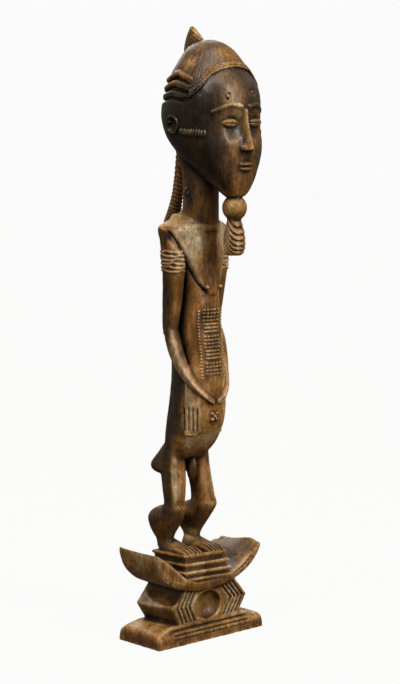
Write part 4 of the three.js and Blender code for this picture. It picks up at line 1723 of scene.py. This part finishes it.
class Shade(Enum):
    """The stages of the patina, from soot black to worn bare wood, linear; the palest stage also colours
    painted highlights.
    """

    SOOT = (0.0, (0.009, 0.007, 0.0055))
    DARK = (0.2, (0.030, 0.020, 0.0115))
    BROWN = (0.4, (0.090, 0.046, 0.0165))
    OCHRE = (0.6, (0.200, 0.096, 0.0200))
    TAN = (0.8, (0.330, 0.192, 0.062))
    BARE = (1.0, (0.430, 0.325, 0.195))


@dataclass(frozen=True)
class Zone:
    """A place with a tone, which fades into the next one: mostly the wood's own tone, in some zones painted
    light and painted highlights.

    Attributes:
        at: Its middle, in millimetres.
        reach: How far it reaches along each axis.
        tone: From 0 for soot black to 1 for bare wood; in the zones that paint highlights, high tones stand
            for painted highlights.
        red: How red the wood shows.
        grey: How pale and grey it is; in the zones that paint highlights, it stands for painted sheen.
        mirrored: Whether the other side has it too.
    """

    at: Point
    reach: Point
    tone: float
    red: float = 0.0
    grey: float = 0.0
    mirrored: bool = True

    def weight(self, points: Array) -> Array:
        """How much the zone counts at each point.

        Args:
            points: The points, in millimetres.

        Returns:
            Weights from 0 to 1.
        """
        near = points.copy()
        if self.mirrored:
            near[:, 0] = np.abs(near[:, 0])
        return np.exp(-np.sum(((near - np.array(self.at)) / np.array(self.reach)) ** 2, axis=1))


# Tones by place. Most zones give the wood's own tone; the zones marked below paint light and highlights.
ZONES: tuple[Zone, ...] = (
    Zone((0, -62, 446), (24, 14, 20), 0.18, 0.1),
    # Painted highlight: a pale grey streak on the forehead, on the figure's right side only.
    Zone((-9, -62, 440), (8, 10, 18), 1.0, 0.0, 1.0, False),
    Zone((35, -24, 428), (10, 32, 26), 0.06),
    Zone((24, -8, 436), (20, 20, 12), 0.06),
    Zone((0, 14, 430), (26, 10, 16), 0.12),
    Zone((25, -40, 396), (11, 22, 15), 0.18),
    Zone((34, -37, 416), (4, 12, 3.2), 0.24, 0.2),
    Zone((0, -64, 408), (17, 9, 22), 0.40, 0.1),
    Zone((13, -58, 424), (8, 8, 6), 0.52, 0.2),
    Zone((0, -24, 484), (30, 32, 10), 0.38),
    # Painted highlight: a small pale grey spot on each side of the cap.
    Zone((24, -26, 471), (4, 5, 5), 0.88, 0.0, 0.8),
    Zone((26, -26, 466), (12, 20, 9), 0.42),
    Zone((10, -50, 473), (20, 10, 7), 0.46),
    # Painted highlight: a slightly paler grey patch on each side of the cap.
    Zone((28, -2, 472), (8, 10, 5), 0.46, 0.0, 0.2),
    Zone((22, 2, 456), (22, 18, 8), 0.55, 0.1),
    Zone((0, 1, 496), (4, 6, 8), 0.52),
    Zone((0, -9, 495), (4, 5, 9), 0.74, 0.1),
    Zone((0, -51, 357), (9, 9, 9), 0.56, 0.1),
    Zone((0, -50, 334), (9, 9, 14), 0.44, 0.15),
    Zone((0, -11, 378), (17, 17, 14), 0.33, 0.1),
    Zone((0, -12, 354), (16, 16, 8), 0.40, 0.2),
    Zone((0, 16, 374), (6, 8, 26), 0.36),
    Zone((0, 24, 338), (9, 6, 10), 0.48),
    Zone((24, -4, 347), (14, 10, 5), 0.84, 0.1),
    Zone((35, -3, 334), (6, 10, 5), 0.30, 0.3),
    # Painted highlight on the upper chest planes below the shoulders, pale grey.
    Zone((18, -17, 328), (9, 8, 11), 1.0, 0.0, 0.7),
    Zone((13, -21, 312), (5, 6, 10), 0.74, 0.1, 0.2),
    Zone((6, -24, 304), (5, 6, 14), 0.56, 0.1, 0.1),
    Zone((0, -26, 322), (5, 6, 20), 0.56, 0.3),
    Zone((20, -14, 292), (6, 7, 12), 0.28, 0.3),
    Zone((27, -8, 313), (9, 14, 9), 0.74, 0.1),
    Zone((28, -10, 328), (8, 8, 5), 0.52, 0.5),
    Zone((30, 3, 284), (5, 9, 22), 0.18, 0.1),
    Zone((24, -12, 284), (5, 5, 18), 0.52, 0.4),
    Zone((26, -2, 246), (6, 8, 16), 0.26, 0.3),
    # Painted highlight: a narrow pale grey stripe along each forearm's ridge.
    Zone((27, -8, 238), (3, 3.5, 14), 0.82, 0.0, 0.8),
    Zone((17, -22, 212), (6, 6, 10), 0.74, 0.6),
    Zone((4, -30, 200), (6, 4, 5), 0.52, 0.6),
    Zone((0, -28, 290), (9, 6, 10), 0.46, 0.6),
    Zone((0, -28, 246), (11, 6, 26), 0.54, 0.2),
    # Painted light: a bright strip down the belly's left side only.
    Zone((14, -23, 236), (3.5, 5, 20), 0.92, 0.0, 0.6, False),
    Zone((-15, -21, 246), (4, 6, 24), 0.54, 0.4, 0.0, False),
    Zone((0, -28, 190), (16, 8, 14), 0.68, 0.3),
    Zone((18, -19, 198), (8, 8, 20), 1.0, 0.1),
    Zone((0, -20, 166), (20, 12, 10), 0.80),
    Zone((14, -6, 156), (8, 8, 8), 0.68),
    Zone((20, 1, 205), (4, 11, 34), 0.16),
    Zone((0, 16, 200), (16, 8, 40), 0.24),
    Zone((0, 17, 290), (22, 9, 44), 0.22, 0.2),
    Zone((13, 22, 145), (12, 12, 12), 0.12),
    Zone((0, -3, 146), (10, 9, 10), 0.44, 0.3),
    Zone((11, -6, 130), (5, 5, 18), 0.62, 0.6),
    # Painted highlight: a narrow pale grey line down each thigh's outer corner.
    Zone((20, -1, 130), (1.8, 2.2, 22), 1.0, 0.0, 0.9),
    Zone((0, -4, 138), (5, 6, 9), 0.14, 0.2),
    Zone((24, 9, 128), (4, 8, 18), 0.34),
    Zone((14, 18, 126), (8, 6, 14), 0.24),
    Zone((15, -9, 110), (7, 5, 6), 0.48, 0.1),
    # Painted light: the upward-facing top of each calf made lighter.
    Zone((12, 14, 107), (5, 8, 5), 0.62, 0.0, 0.3),
    # Painted light on the top of the left calf, where the legs shade it.
    Zone((8, 11, 104), (4, 6, 6), 0.95, 0.0, 0.3, False),
    Zone((16, 18, 97), (11, 13, 11), 0.32),
    Zone((15, 2, 92), (9, 9, 9), 0.33, 0.0, 0.2),
    # Painted highlight: paler grey insteps.
    Zone((12.6, -2, 78), (8, 9, 4), 0.56, 0.0, 0.2),
    # Painted highlight: a bright spot on the left instep only.
    Zone((10, 13, 80), (5, 6, 5), 1.0, 0.0, 0.3, False),
    Zone((12, -14, 73), (12, 6, 4), 0.36),
    Zone((0, -18, 60), (27, 6, 10), 0.60, 0.3),
    Zone((24, 4, 60), (6, 22, 10), 0.48, 0.2),
    # Grey tops of the wings: partly grey wear, partly painted sheen.
    Zone((46, 2, 72), (14, 22, 7), 0.56, 0.0, 0.3),
    Zone((46, -14, 66), (10, 8, 8), 0.54, 0.4),
    Zone((45, -5, 66), (14, 16, 9), 0.30, 0.3, 0.0, False),
    Zone((-52, 4, 60), (9, 20, 10), 0.90, 0.3, 0.1, False),
    Zone((52, 0, 60), (9, 24, 9), 0.60, 0.5),
    Zone((38, -23, 56), (12, 5, 8), 0.70, 0.5),
    Zone((0, -23, 46), (22, 4, 5), 0.32, 0.5),
    Zone((34, 0, 44), (14, 22, 5), 0.56, 0.3),
    Zone((0, -20, 30), (34, 6, 14), 0.60),
    Zone((0, -14, 24), (14, 6, 7), 0.94),
    Zone((0, 20, 30), (34, 6, 14), 0.58, 0.1),
    # Painted light: the column's upper slanting facets, which face the light, made pale grey.
    Zone((38, 15, 37), (10, 11, 9), 1.0, 0.0, 0.6),
    Zone((34, -4, 40), (6, 12, 6), 0.66, 0.1),
    Zone((40, 0, 21), (6, 20, 6), 0.46, 0.0, 0.5),
    Zone((46, 0, 14), (14, 24, 4), 0.90, 0.1),
    Zone((50, -6, 13), (10, 16, 5), 1.0, 0.0, 0.0, False),
    Zone((0, -24, 9), (50, 5, 6), 0.48, 0.3),
    Zone((0, 24, 9), (50, 5, 6), 0.54, 0.3),
    Zone((57, 0, 5), (5, 24, 6), 0.46, 0.8),
)


@dataclass(frozen=True)
class PatinaAndPaintedLight:
    """Colours the surface by place, edge, hollow and chance, with painted shade in hollows and deep recesses,
    painted light and shade on the stool's up and down faces, and painted highlights from some zones.
    """

    seed: int = 11
    lattice: int = 64
    fine_depth: float = 0.42
    # How deep a broad recess must be to get the full painted shade.
    occlusion_shade_depth: float = 1.5
    # Height over which the stool's painted light and shade fade out.
    stool_top: tuple[float, float] = (78, 84)
    red_tint: Point = (2.05, 0.72, 0.28)
    # Tint of the pale grey: grey wear, and painted sheen in the zones that paint highlights.
    grey_and_sheen_tint: Point = (1.22, 1.12, 0.88)
    tint_share: float = 0.8

    def _chance(self, points: Array, pitch: Point, seed: int) -> Array:
        """Smooth random values at scattered points.

        Args:
            points: The points, in millimetres.
            pitch: About how large the features are along each axis.
            seed: Picks the values.

        Returns:
            Values from -1 to 1.
        """
        size = self.lattice
        generator = np.random.default_rng(self.seed + seed)
        lattice = generator.uniform(-1, 1, (size, size, size)).astype(np.float32)
        place = points / np.array(pitch) + 1000.0
        cell = np.floor(place).astype(int)
        t = place - cell
        t = t * t * (3 - 2 * t)
        out = np.zeros(len(points))
        for step in CORNERS:
            i, j, k = ((cell + step) % size).T
            out += np.prod(np.where(step, t, 1 - t), axis=1) * lattice[i, j, k]
        return out

    def colours(self, wood: Carving, points: Array, normals: Array) -> Array:
        """Colours and roughness for points on the surface, painted shade, painted light and painted
        highlights included.

        Args:
            wood: The carved field.
            points: The points, in millimetres.
            normals: The surface's directions there.

        Returns:
            One row of red, green, blue and roughness for each point.
        """
        weights = np.array([zone.weight(points) for zone in ZONES]) + 1e-9
        total = weights.sum(axis=0)
        tone = (np.array([z.tone for z in ZONES]) @ weights) / total
        red = (np.array([z.red for z in ZONES]) @ weights) / total
        grey = (np.array([z.grey for z in ZONES]) @ weights) / total
        fine = wood.sample(wood.blurred(2, 4), points)
        broad = wood.sample(wood.blurred(4, 10), points)
        edge = np.clip(fine / self.fine_depth, 0, 1)
        # hollow: fine creases, darkened below as painted shade.
        hollow = np.clip(-fine / self.fine_depth, 0, 1)
        # deep: how far a point lies within a broad recess, an occlusion measure, darkened below as painted
        # shade.
        deep = np.clip(-broad / self.occlusion_shade_depth, 0, 1)
        patch = self._chance(points, (7, 7, 15), 1)
        streak = self._chance(points, (2.2, 2.2, 12), 2)
        speck = self._chance(points, (1.5, 1.5, 1.9), 3)
        lively = 0.35 + 0.65 * np.clip(tone / 0.5, 0, 1)
        broadly = self._chance(points, (13, 13, 18), 5)
        shade = tone + (0.12 * broadly + 0.16 * patch + 0.07 * streak + 0.09 * speck) * lively
        # Edges are made lighter; fine hollows and deep recesses are darkened as painted shade.
        shade += 0.32 * edge * (0.35 + tone) - 0.42 * hollow - 0.16 * deep
        # Painted light and shade on the stool: faces that look up are made lighter, faces that look down
        # darker.
        stool = 1 - ramp(points[:, 2], *self.stool_top)
        up = normals[:, 2]
        shade += stool * (0.12 * np.clip(up, 0, 1) - 0.12 * np.clip(-up, 0, 1))
        shade = np.clip(shade, 0, 1)
        stops = np.array([stage.value[0] for stage in Shade])
        paints = np.array([stage.value[1] for stage in Shade])
        colour = np.stack([np.interp(shade, stops, paints[:, k]) for k in range(3)], axis=-1)
        ruddy = np.clip(self._chance(points, (4, 4, 7), 4), 0, 1)
        warm = np.clip(red * 0.6 + 0.55 * ruddy * (0.25 + red), 0, 0.85)
        warm = warm * np.clip(shade * 2.2, 0, 1) * (1 - edge * 0.5)
        light = colour.mean(axis=1, keepdims=True)
        colour += warm[:, None] * (light * np.array(self.red_tint) - colour) * self.tint_share
        # Paler and greyer where zones ask for it: grey wear, and painted sheen in the zones that paint
        # highlights.
        pale = (grey * (0.75 + 0.25 * patch))[:, None]
        colour += pale * (light * np.array(self.grey_and_sheen_tint) - colour) * self.tint_share
        rough = 0.30 + 0.20 * np.clip(shade, 0, 1) + 0.12 * hollow + 0.05 * speck
        return np.concatenate([colour, rough[:, None]], axis=1).astype(np.float32)


RANGE_VALUE, RANGE_FROM_LOW, RANGE_FROM_HIGH, RANGE_TO_LOW, RANGE_TO_HIGH = 6, 7, 8, 9, 10
RANGE_RESULT = 1
MIX_FACTOR, MIX_FIRST, MIX_SECOND = 0, 6, 7
MIX_RESULT = 2


@dataclass(frozen=True)
class WoodFinish:
    """Semi-gloss patina over carved wood: streaks, pores, fine cracks and a soft knife texture."""

    # Colours and roughness by point; the colours include painted light and shade.
    attribute: str = "patina_and_painted_light"
    coat: float = 0.09
    coat_roughness: float = 0.20
    specular: float = 0.33
    rough_spread: float = 0.20
    grain: Point = (520, 520, 42)
    pores: Point = (1500, 1500, 300)
    blotches: Point = (260, 260, 170)
    cracks: Point = (330, 330, 9)
    depths: Point = (0.00010, 0.00028, 0.00006)
    bump_strength: float = 0.7

    def build(self) -> bpy.types.Material:
        """Makes the material.

        Returns:
            The material, which reads object coordinates and the piece's attribute.
        """
        # The base colour comes from the point attribute, which carries painted light and shade.
        material = bpy.data.materials.new("patinated_wood_with_painted_light")
        material.use_nodes = True
        tree = material.node_tree
        shader = tree.nodes["Principled BSDF"]
        shader.inputs["Specular IOR Level"].default_value = self.specular
        shader.inputs["Coat Weight"].default_value = self.coat
        shader.inputs["Coat Roughness"].default_value = self.coat_roughness
        patina_and_painted_light = tree.nodes.new("ShaderNodeAttribute")
        patina_and_painted_light.attribute_name = self.attribute
        place = tree.nodes.new("ShaderNodeTexCoord")
        grain = self._noise(tree, place, self.grain, 3.0)
        pores = self._noise(tree, place, self.pores, 2.0)
        blotches = self._noise(tree, place, self.blotches, 4.0)
        cracks = self._noise(tree, place, self.cracks, 2.0)
        colour = patina_and_painted_light.outputs["Color"]
        for noise, span, low, high in (
            (grain, (0.34, 0.66), (0.80, 0.78, 0.76), (1.16, 1.15, 1.12)),
            (pores, (0.36, 0.52), (0.60, 0.57, 0.54), (1.05, 1.05, 1.05)),
            (blotches, (0.36, 0.64), (0.72, 0.72, 0.74), (1.30, 1.28, 1.24)),
            (cracks, (0.27, 0.31), (0.25, 0.22, 0.20), (1.0, 1.0, 1.0)),
        ):
            colour = self._tint(tree, colour, noise, span, low, high)
        tree.links.new(colour, shader.inputs["Base Color"])
        rough = tree.nodes.new("ShaderNodeMath")
        rough.operation = "MULTIPLY_ADD"
        rough.inputs[1].default_value = self.rough_spread
        tree.links.new(blotches, rough.inputs[0])
        shift = tree.nodes.new("ShaderNodeMath")
        shift.operation = "SUBTRACT"
        shift.inputs[1].default_value = self.rough_spread / 2
        tree.links.new(patina_and_painted_light.outputs["Alpha"], shift.inputs[0])
        tree.links.new(shift.outputs[0], rough.inputs[2])
        tree.links.new(rough.outputs[0], shader.inputs["Roughness"])
        self._relief(tree, shader, grain, blotches, pores)
        return material

    def _noise(
        self, tree: bpy.types.NodeTree, place: bpy.types.Node, scale: Point, detail: float
    ) -> bpy.types.NodeSocket:
        """Adds noise on object coordinates.

        Args:
            tree: The material's nodes.
            place: The texture coordinates.
            scale: How fine the noise is along each axis.
            detail: How many finer layers it has.

        Returns:
            The noise, from 0 to 1.
        """
        mapping = tree.nodes.new("ShaderNodeMapping")
        mapping.inputs["Scale"].default_value = scale
        noise = tree.nodes.new("ShaderNodeTexNoise")
        noise.inputs["Scale"].default_value = 1.0
        noise.inputs["Detail"].default_value = detail
        noise.inputs["Roughness"].default_value = 0.55
        tree.links.new(place.outputs["Object"], mapping.inputs["Vector"])
        tree.links.new(mapping.outputs["Vector"], noise.inputs["Vector"])
        return noise.outputs["Fac"]

    def _tint(
        self,
        tree: bpy.types.NodeTree,
        colour: bpy.types.NodeSocket,
        noise: bpy.types.NodeSocket,
        span: tuple[float, float],
        low: Point,
        high: Point,
    ) -> bpy.types.NodeSocket:
        """Multiplies a colour by a tint that runs with the noise.

        Args:
            tree: The material's nodes.
            colour: The colour.
            noise: The noise.
            span: The noise values of the low and the high tint.
            low: The low tint.
            high: The high tint.

        Returns:
            The tinted colour.
        """
        tints = tree.nodes.new("ShaderNodeMapRange")
        tints.data_type = "FLOAT_VECTOR"
        tints.inputs[RANGE_FROM_LOW].default_value = (span[0],) * 3
        tints.inputs[RANGE_FROM_HIGH].default_value = (span[1],) * 3
        tints.inputs[RANGE_TO_LOW].default_value = low
        tints.inputs[RANGE_TO_HIGH].default_value = high
        tree.links.new(noise, tints.inputs[RANGE_VALUE])
        mix = tree.nodes.new("ShaderNodeMix")
        mix.data_type = "RGBA"
        mix.blend_type = "MULTIPLY"
        mix.inputs[MIX_FACTOR].default_value = 1.0
        tree.links.new(colour, mix.inputs[MIX_FIRST])
        tree.links.new(tints.outputs[RANGE_RESULT], mix.inputs[MIX_SECOND])
        return mix.outputs[MIX_RESULT]

    def _relief(
        self, tree: bpy.types.NodeTree, shader: bpy.types.Node, *noises: bpy.types.NodeSocket
    ) -> None:
        """Chains a bump for the grain, the knife marks and the pores.

        Args:
            tree: The material's nodes.
            shader: The shader that the last bump goes to.
            noises: The height of each bump.
        """
        last = None
        for noise, depth in zip(noises, self.depths):
            bump_node = tree.nodes.new("ShaderNodeBump")
            bump_node.inputs["Strength"].default_value = self.bump_strength
            bump_node.inputs["Distance"].default_value = depth
            tree.links.new(noise, bump_node.inputs["Height"])
            if last is not None:
                tree.links.new(last.outputs["Normal"], bump_node.inputs["Normal"])
            last = bump_node
        tree.links.new(last.outputs["Normal"], shader.inputs["Normal"])


@dataclass(frozen=True)
class Surface:
    """Turns the carved field into the finished piece."""

    name: str = "carved_figure"
    faces: int = 194_000

    def build(
        self, wood: Carving, finish: WoodFinish, patina_and_painted_light: PatinaAndPaintedLight, box: tuple[Vector, Vector]
    ) -> bpy.types.Object:
        """Meshes the wood, thins the mesh and paints it.

        Args:
            wood: The carved field.
            finish: The wood's finish.
            patina_and_painted_light: The wood's colours, painted light and shade included.
            box: The corners that the piece stays within, in metres.

        Returns:
            The piece, in metres.
        """
        points, quads = wood.surface()
        LOG.info("surface: %d points, %d quads", len(points), len(quads))
        points = np.clip(points * MM, np.array(box[0]), np.array(box[1]))
        mesh = bpy.data.meshes.new(self.name)
        mesh.vertices.add(len(points))
        mesh.vertices.foreach_set("co", points.astype(np.float32).ravel())
        mesh.loops.add(quads.size)
        mesh.loops.foreach_set("vertex_index", quads.astype(np.int32).ravel())
        mesh.polygons.add(len(quads))
        mesh.polygons.foreach_set("loop_start", np.arange(0, quads.size, 4, dtype=np.int32))
        mesh.update(calc_edges=True)
        obj = placed(self.name, mesh)
        modifier = obj.modifiers.new("thin", "DECIMATE")
        modifier.ratio = min(1.0, self.faces / (2 * len(quads)))
        graph = bpy.context.evaluated_depsgraph_get()
        thin = bpy.data.meshes.new_from_object(obj.evaluated_get(graph))
        obj.modifiers.clear()
        obj.data = thin
        bpy.data.meshes.remove(mesh)
        thin.name = self.name
        self._keep_within(thin, box)
        thin.polygons.foreach_set("use_smooth", np.ones(len(thin.polygons), bool))
        self._paint(thin, wood, patina_and_painted_light, finish.attribute)
        thin.materials.append(finish.build())
        LOG.info("piece: %d faces", len(thin.polygons))
        return obj

    def _keep_within(self, mesh: bpy.types.Mesh, box: tuple[Vector, Vector]) -> None:
        """Brings back the points that thinning moved past the box.

        Args:
            mesh: The thinned mesh, in metres.
            box: The corners that the piece stays within, in metres.
        """
        points = np.clip(vectors(mesh, "co"), np.array(box[0]), np.array(box[1]))
        mesh.vertices.foreach_set("co", points.astype(np.float32).ravel())

    def _paint(self, mesh: bpy.types.Mesh, wood: Carving, patina_and_painted_light: PatinaAndPaintedLight, name: str) -> None:
        """Gives each point its colour, painted light and shade included, and its roughness.

        Args:
            mesh: The thinned mesh, in metres.
            wood: The carved field.
            patina_and_painted_light: The wood's colours, painted light and shade included.
            name: What the attribute is called.
        """
        colours = patina_and_painted_light.colours(wood, vectors(mesh, "co") / MM, vectors(mesh, "normal"))
        attribute = mesh.attributes.new(name, "FLOAT_COLOR", "POINT")
        attribute.data.foreach_set("color", colours.ravel())


# Studio


@dataclass(frozen=True)
class Lamp:
    """An area light: where it stands, by azimuth and elevation, and its distance, size and power."""

    name: str
    direction: tuple[float, float]
    distance: float
    size: tuple[float, float]
    power: float


@dataclass(frozen=True)
class Studio:
    """Camera, lights and floor."""

    azimuth: float = -42.2
    distance: float = 1.650
    height: float = 0.460
    yaw: float = -0.242
    pitch: float = 7.45
    focal_px: float = 2032.0
    photo_height: float = 684.0
    sensor: float = 36.0
    lamps: tuple[Lamp, ...] = (
        Lamp("key", (7, 32), 1.5, (0.22, 1.0), 18.0),
        Lamp("left", (-80, 50), 1.6, (0.4, 0.7), 10.0),
        Lamp("top", (-30, 76), 1.5, (0.8, 0.8), 9.0),
        Lamp("back", (150, 35), 1.6, (0.9, 0.9), 6.0),
    )
    lamp_colour: Point = (1.0, 0.95, 0.86)
    lamp_middle: float = 0.25
    lamp_target: float = 0.27
    below: tuple[float, ...] = (0.12, 0.105, 0.085, 1)
    above: tuple[float, ...] = (1.0, 0.90, 0.76, 1)
    fill: float = 0.50
    background: float = 0.965
    floor_half: float = 6.0
    floor_glow: float = 0.945

    def build(self) -> None:
        """Sets up the studio."""
        self._camera()
        self._lights()
        self._floor()

    def _camera(self) -> None:
        """Sets up the camera where the photograph was taken from."""
        data = bpy.data.cameras.new("camera")
        data.sensor_fit = "VERTICAL"
        data.sensor_height = self.sensor
        data.lens = self.sensor * self.focal_px / self.photo_height
        camera = placed("camera", data)
        a = math.radians(self.azimuth)
        camera.location = (self.distance * math.sin(a), -self.distance * math.cos(a), self.height)
        heading = math.radians(self.azimuth + self.yaw)
        camera.rotation_euler = Euler((math.radians(90 - self.pitch), 0, heading), "XYZ")
        bpy.context.scene.camera = camera

    def _lights(self) -> None:
        """Sets up the lamps, and a world that is seen as plain pale and lights from above."""
        for lamp in self.lamps:
            self._area(lamp)
        world = bpy.data.worlds.new("studio")
        world.use_nodes = True
        tree = world.node_tree
        seen = tree.nodes["Background"]
        seen.inputs["Color"].default_value = (self.background,) * 3 + (1,)
        seen.inputs["Strength"].default_value = 1.0
        soft = tree.nodes.new("ShaderNodeBackground")
        soft.inputs["Strength"].default_value = self.fill
        place = tree.nodes.new("ShaderNodeTexCoord")
        split = tree.nodes.new("ShaderNodeSeparateXYZ")
        fade = tree.nodes.new("ShaderNodeValToRGB")
        for stop, colour, position in zip(fade.color_ramp.elements, (self.below, self.above), (0.35, 0.85)):
            stop.color = colour
            stop.position = position
        half = tree.nodes.new("ShaderNodeMath")
        half.operation = "MULTIPLY_ADD"
        half.inputs[1].default_value = 0.5
        half.inputs[2].default_value = 0.5
        tree.links.new(place.outputs["Generated"], split.inputs[0])
        tree.links.new(split.outputs["Z"], half.inputs[0])
        tree.links.new(half.outputs[0], fade.inputs["Fac"])
        tree.links.new(fade.outputs["Color"], soft.inputs["Color"])
        path = tree.nodes.new("ShaderNodeLightPath")
        mix = tree.nodes.new("ShaderNodeMixShader")
        tree.links.new(path.outputs["Is Camera Ray"], mix.inputs[0])
        tree.links.new(soft.outputs[0], mix.inputs[1])
        tree.links.new(seen.outputs[0], mix.inputs[2])
        tree.links.new(mix.outputs[0], tree.nodes["World Output"].inputs["Surface"])
        bpy.context.scene.world = world
        bpy.context.scene.view_settings.view_transform = "Standard"

    def _area(self, lamp: Lamp) -> None:
        """Sets up one lamp, turned towards the figure's middle.

        Args:
            lamp: The lamp.
        """
        data = bpy.data.lights.new(lamp.name, "AREA")
        data.shape = "RECTANGLE"
        data.size, data.size_y = lamp.size
        data.energy = lamp.power
        data.color = self.lamp_colour
        light = placed(lamp.name, data)
        azimuth, elevation = (math.radians(v) for v in lamp.direction)
        flat = lamp.distance * math.cos(elevation)
        height = self.lamp_middle + lamp.distance * math.sin(elevation)
        place = Vector((flat * math.sin(azimuth), -flat * math.cos(azimuth), height))
        light.location = place
        towards = Vector((0, 0, self.lamp_target)) - place
        light.rotation_euler = towards.to_track_quat("-Z", "Y").to_euler()

    def _floor(self) -> None:
        """Lays a pale ground that takes a soft shadow."""
        mesh = bpy.data.meshes.new("floor")
        half = self.floor_half
        corners = [(-half, -half, 0), (half, -half, 0), (half, half, 0), (-half, half, 0)]
        mesh.from_pydata(corners, [], [(0, 1, 2, 3)])
        floor = placed("floor", mesh)
        material = bpy.data.materials.new("studio_floor")
        material.use_nodes = True
        shader = material.node_tree.nodes["Principled BSDF"]
        shader.inputs["Base Color"].default_value = (0.02, 0.02, 0.02, 1)
        shader.inputs["Roughness"].default_value = 1.0
        shader.inputs["Specular IOR Level"].default_value = 0.0
        shader.inputs["Emission Color"].default_value = (1, 1, 1, 1)
        shader.inputs["Emission Strength"].default_value = self.floor_glow
        mesh.materials.append(material)
        floor.visible_diffuse = False
        floor.visible_glossy = False
        floor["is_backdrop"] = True


def main() -> None:
    """Builds the scene in order."""
    logging.basicConfig(level=logging.INFO, format="%(relativeCreated)d %(message)s")
    cad_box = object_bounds()
    wood = Carving(*SPACE, PITCH)
    marks = MarkMaker()
    head = Head()
    for part in (Stool(), Legs()):
        part.build(wood)
        LOG.info("%s", type(part).__name__)
    for part in (Feet(), Trunk(), Arms(), head, Hair(head)):
        part.build(wood, marks)
        LOG.info("%s", type(part).__name__)
    wood.weather(WEAR_DEPTH, WEAR_SEED)
    low, high = (Vector(corner) for corner in cad_box)
    piece = Surface().build(wood, WoodFinish(), PatinaAndPaintedLight(), (low, high))
    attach(piece, "root")
    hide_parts(NODE)
    Studio().build()


if __name__ == "__main__":
    main()
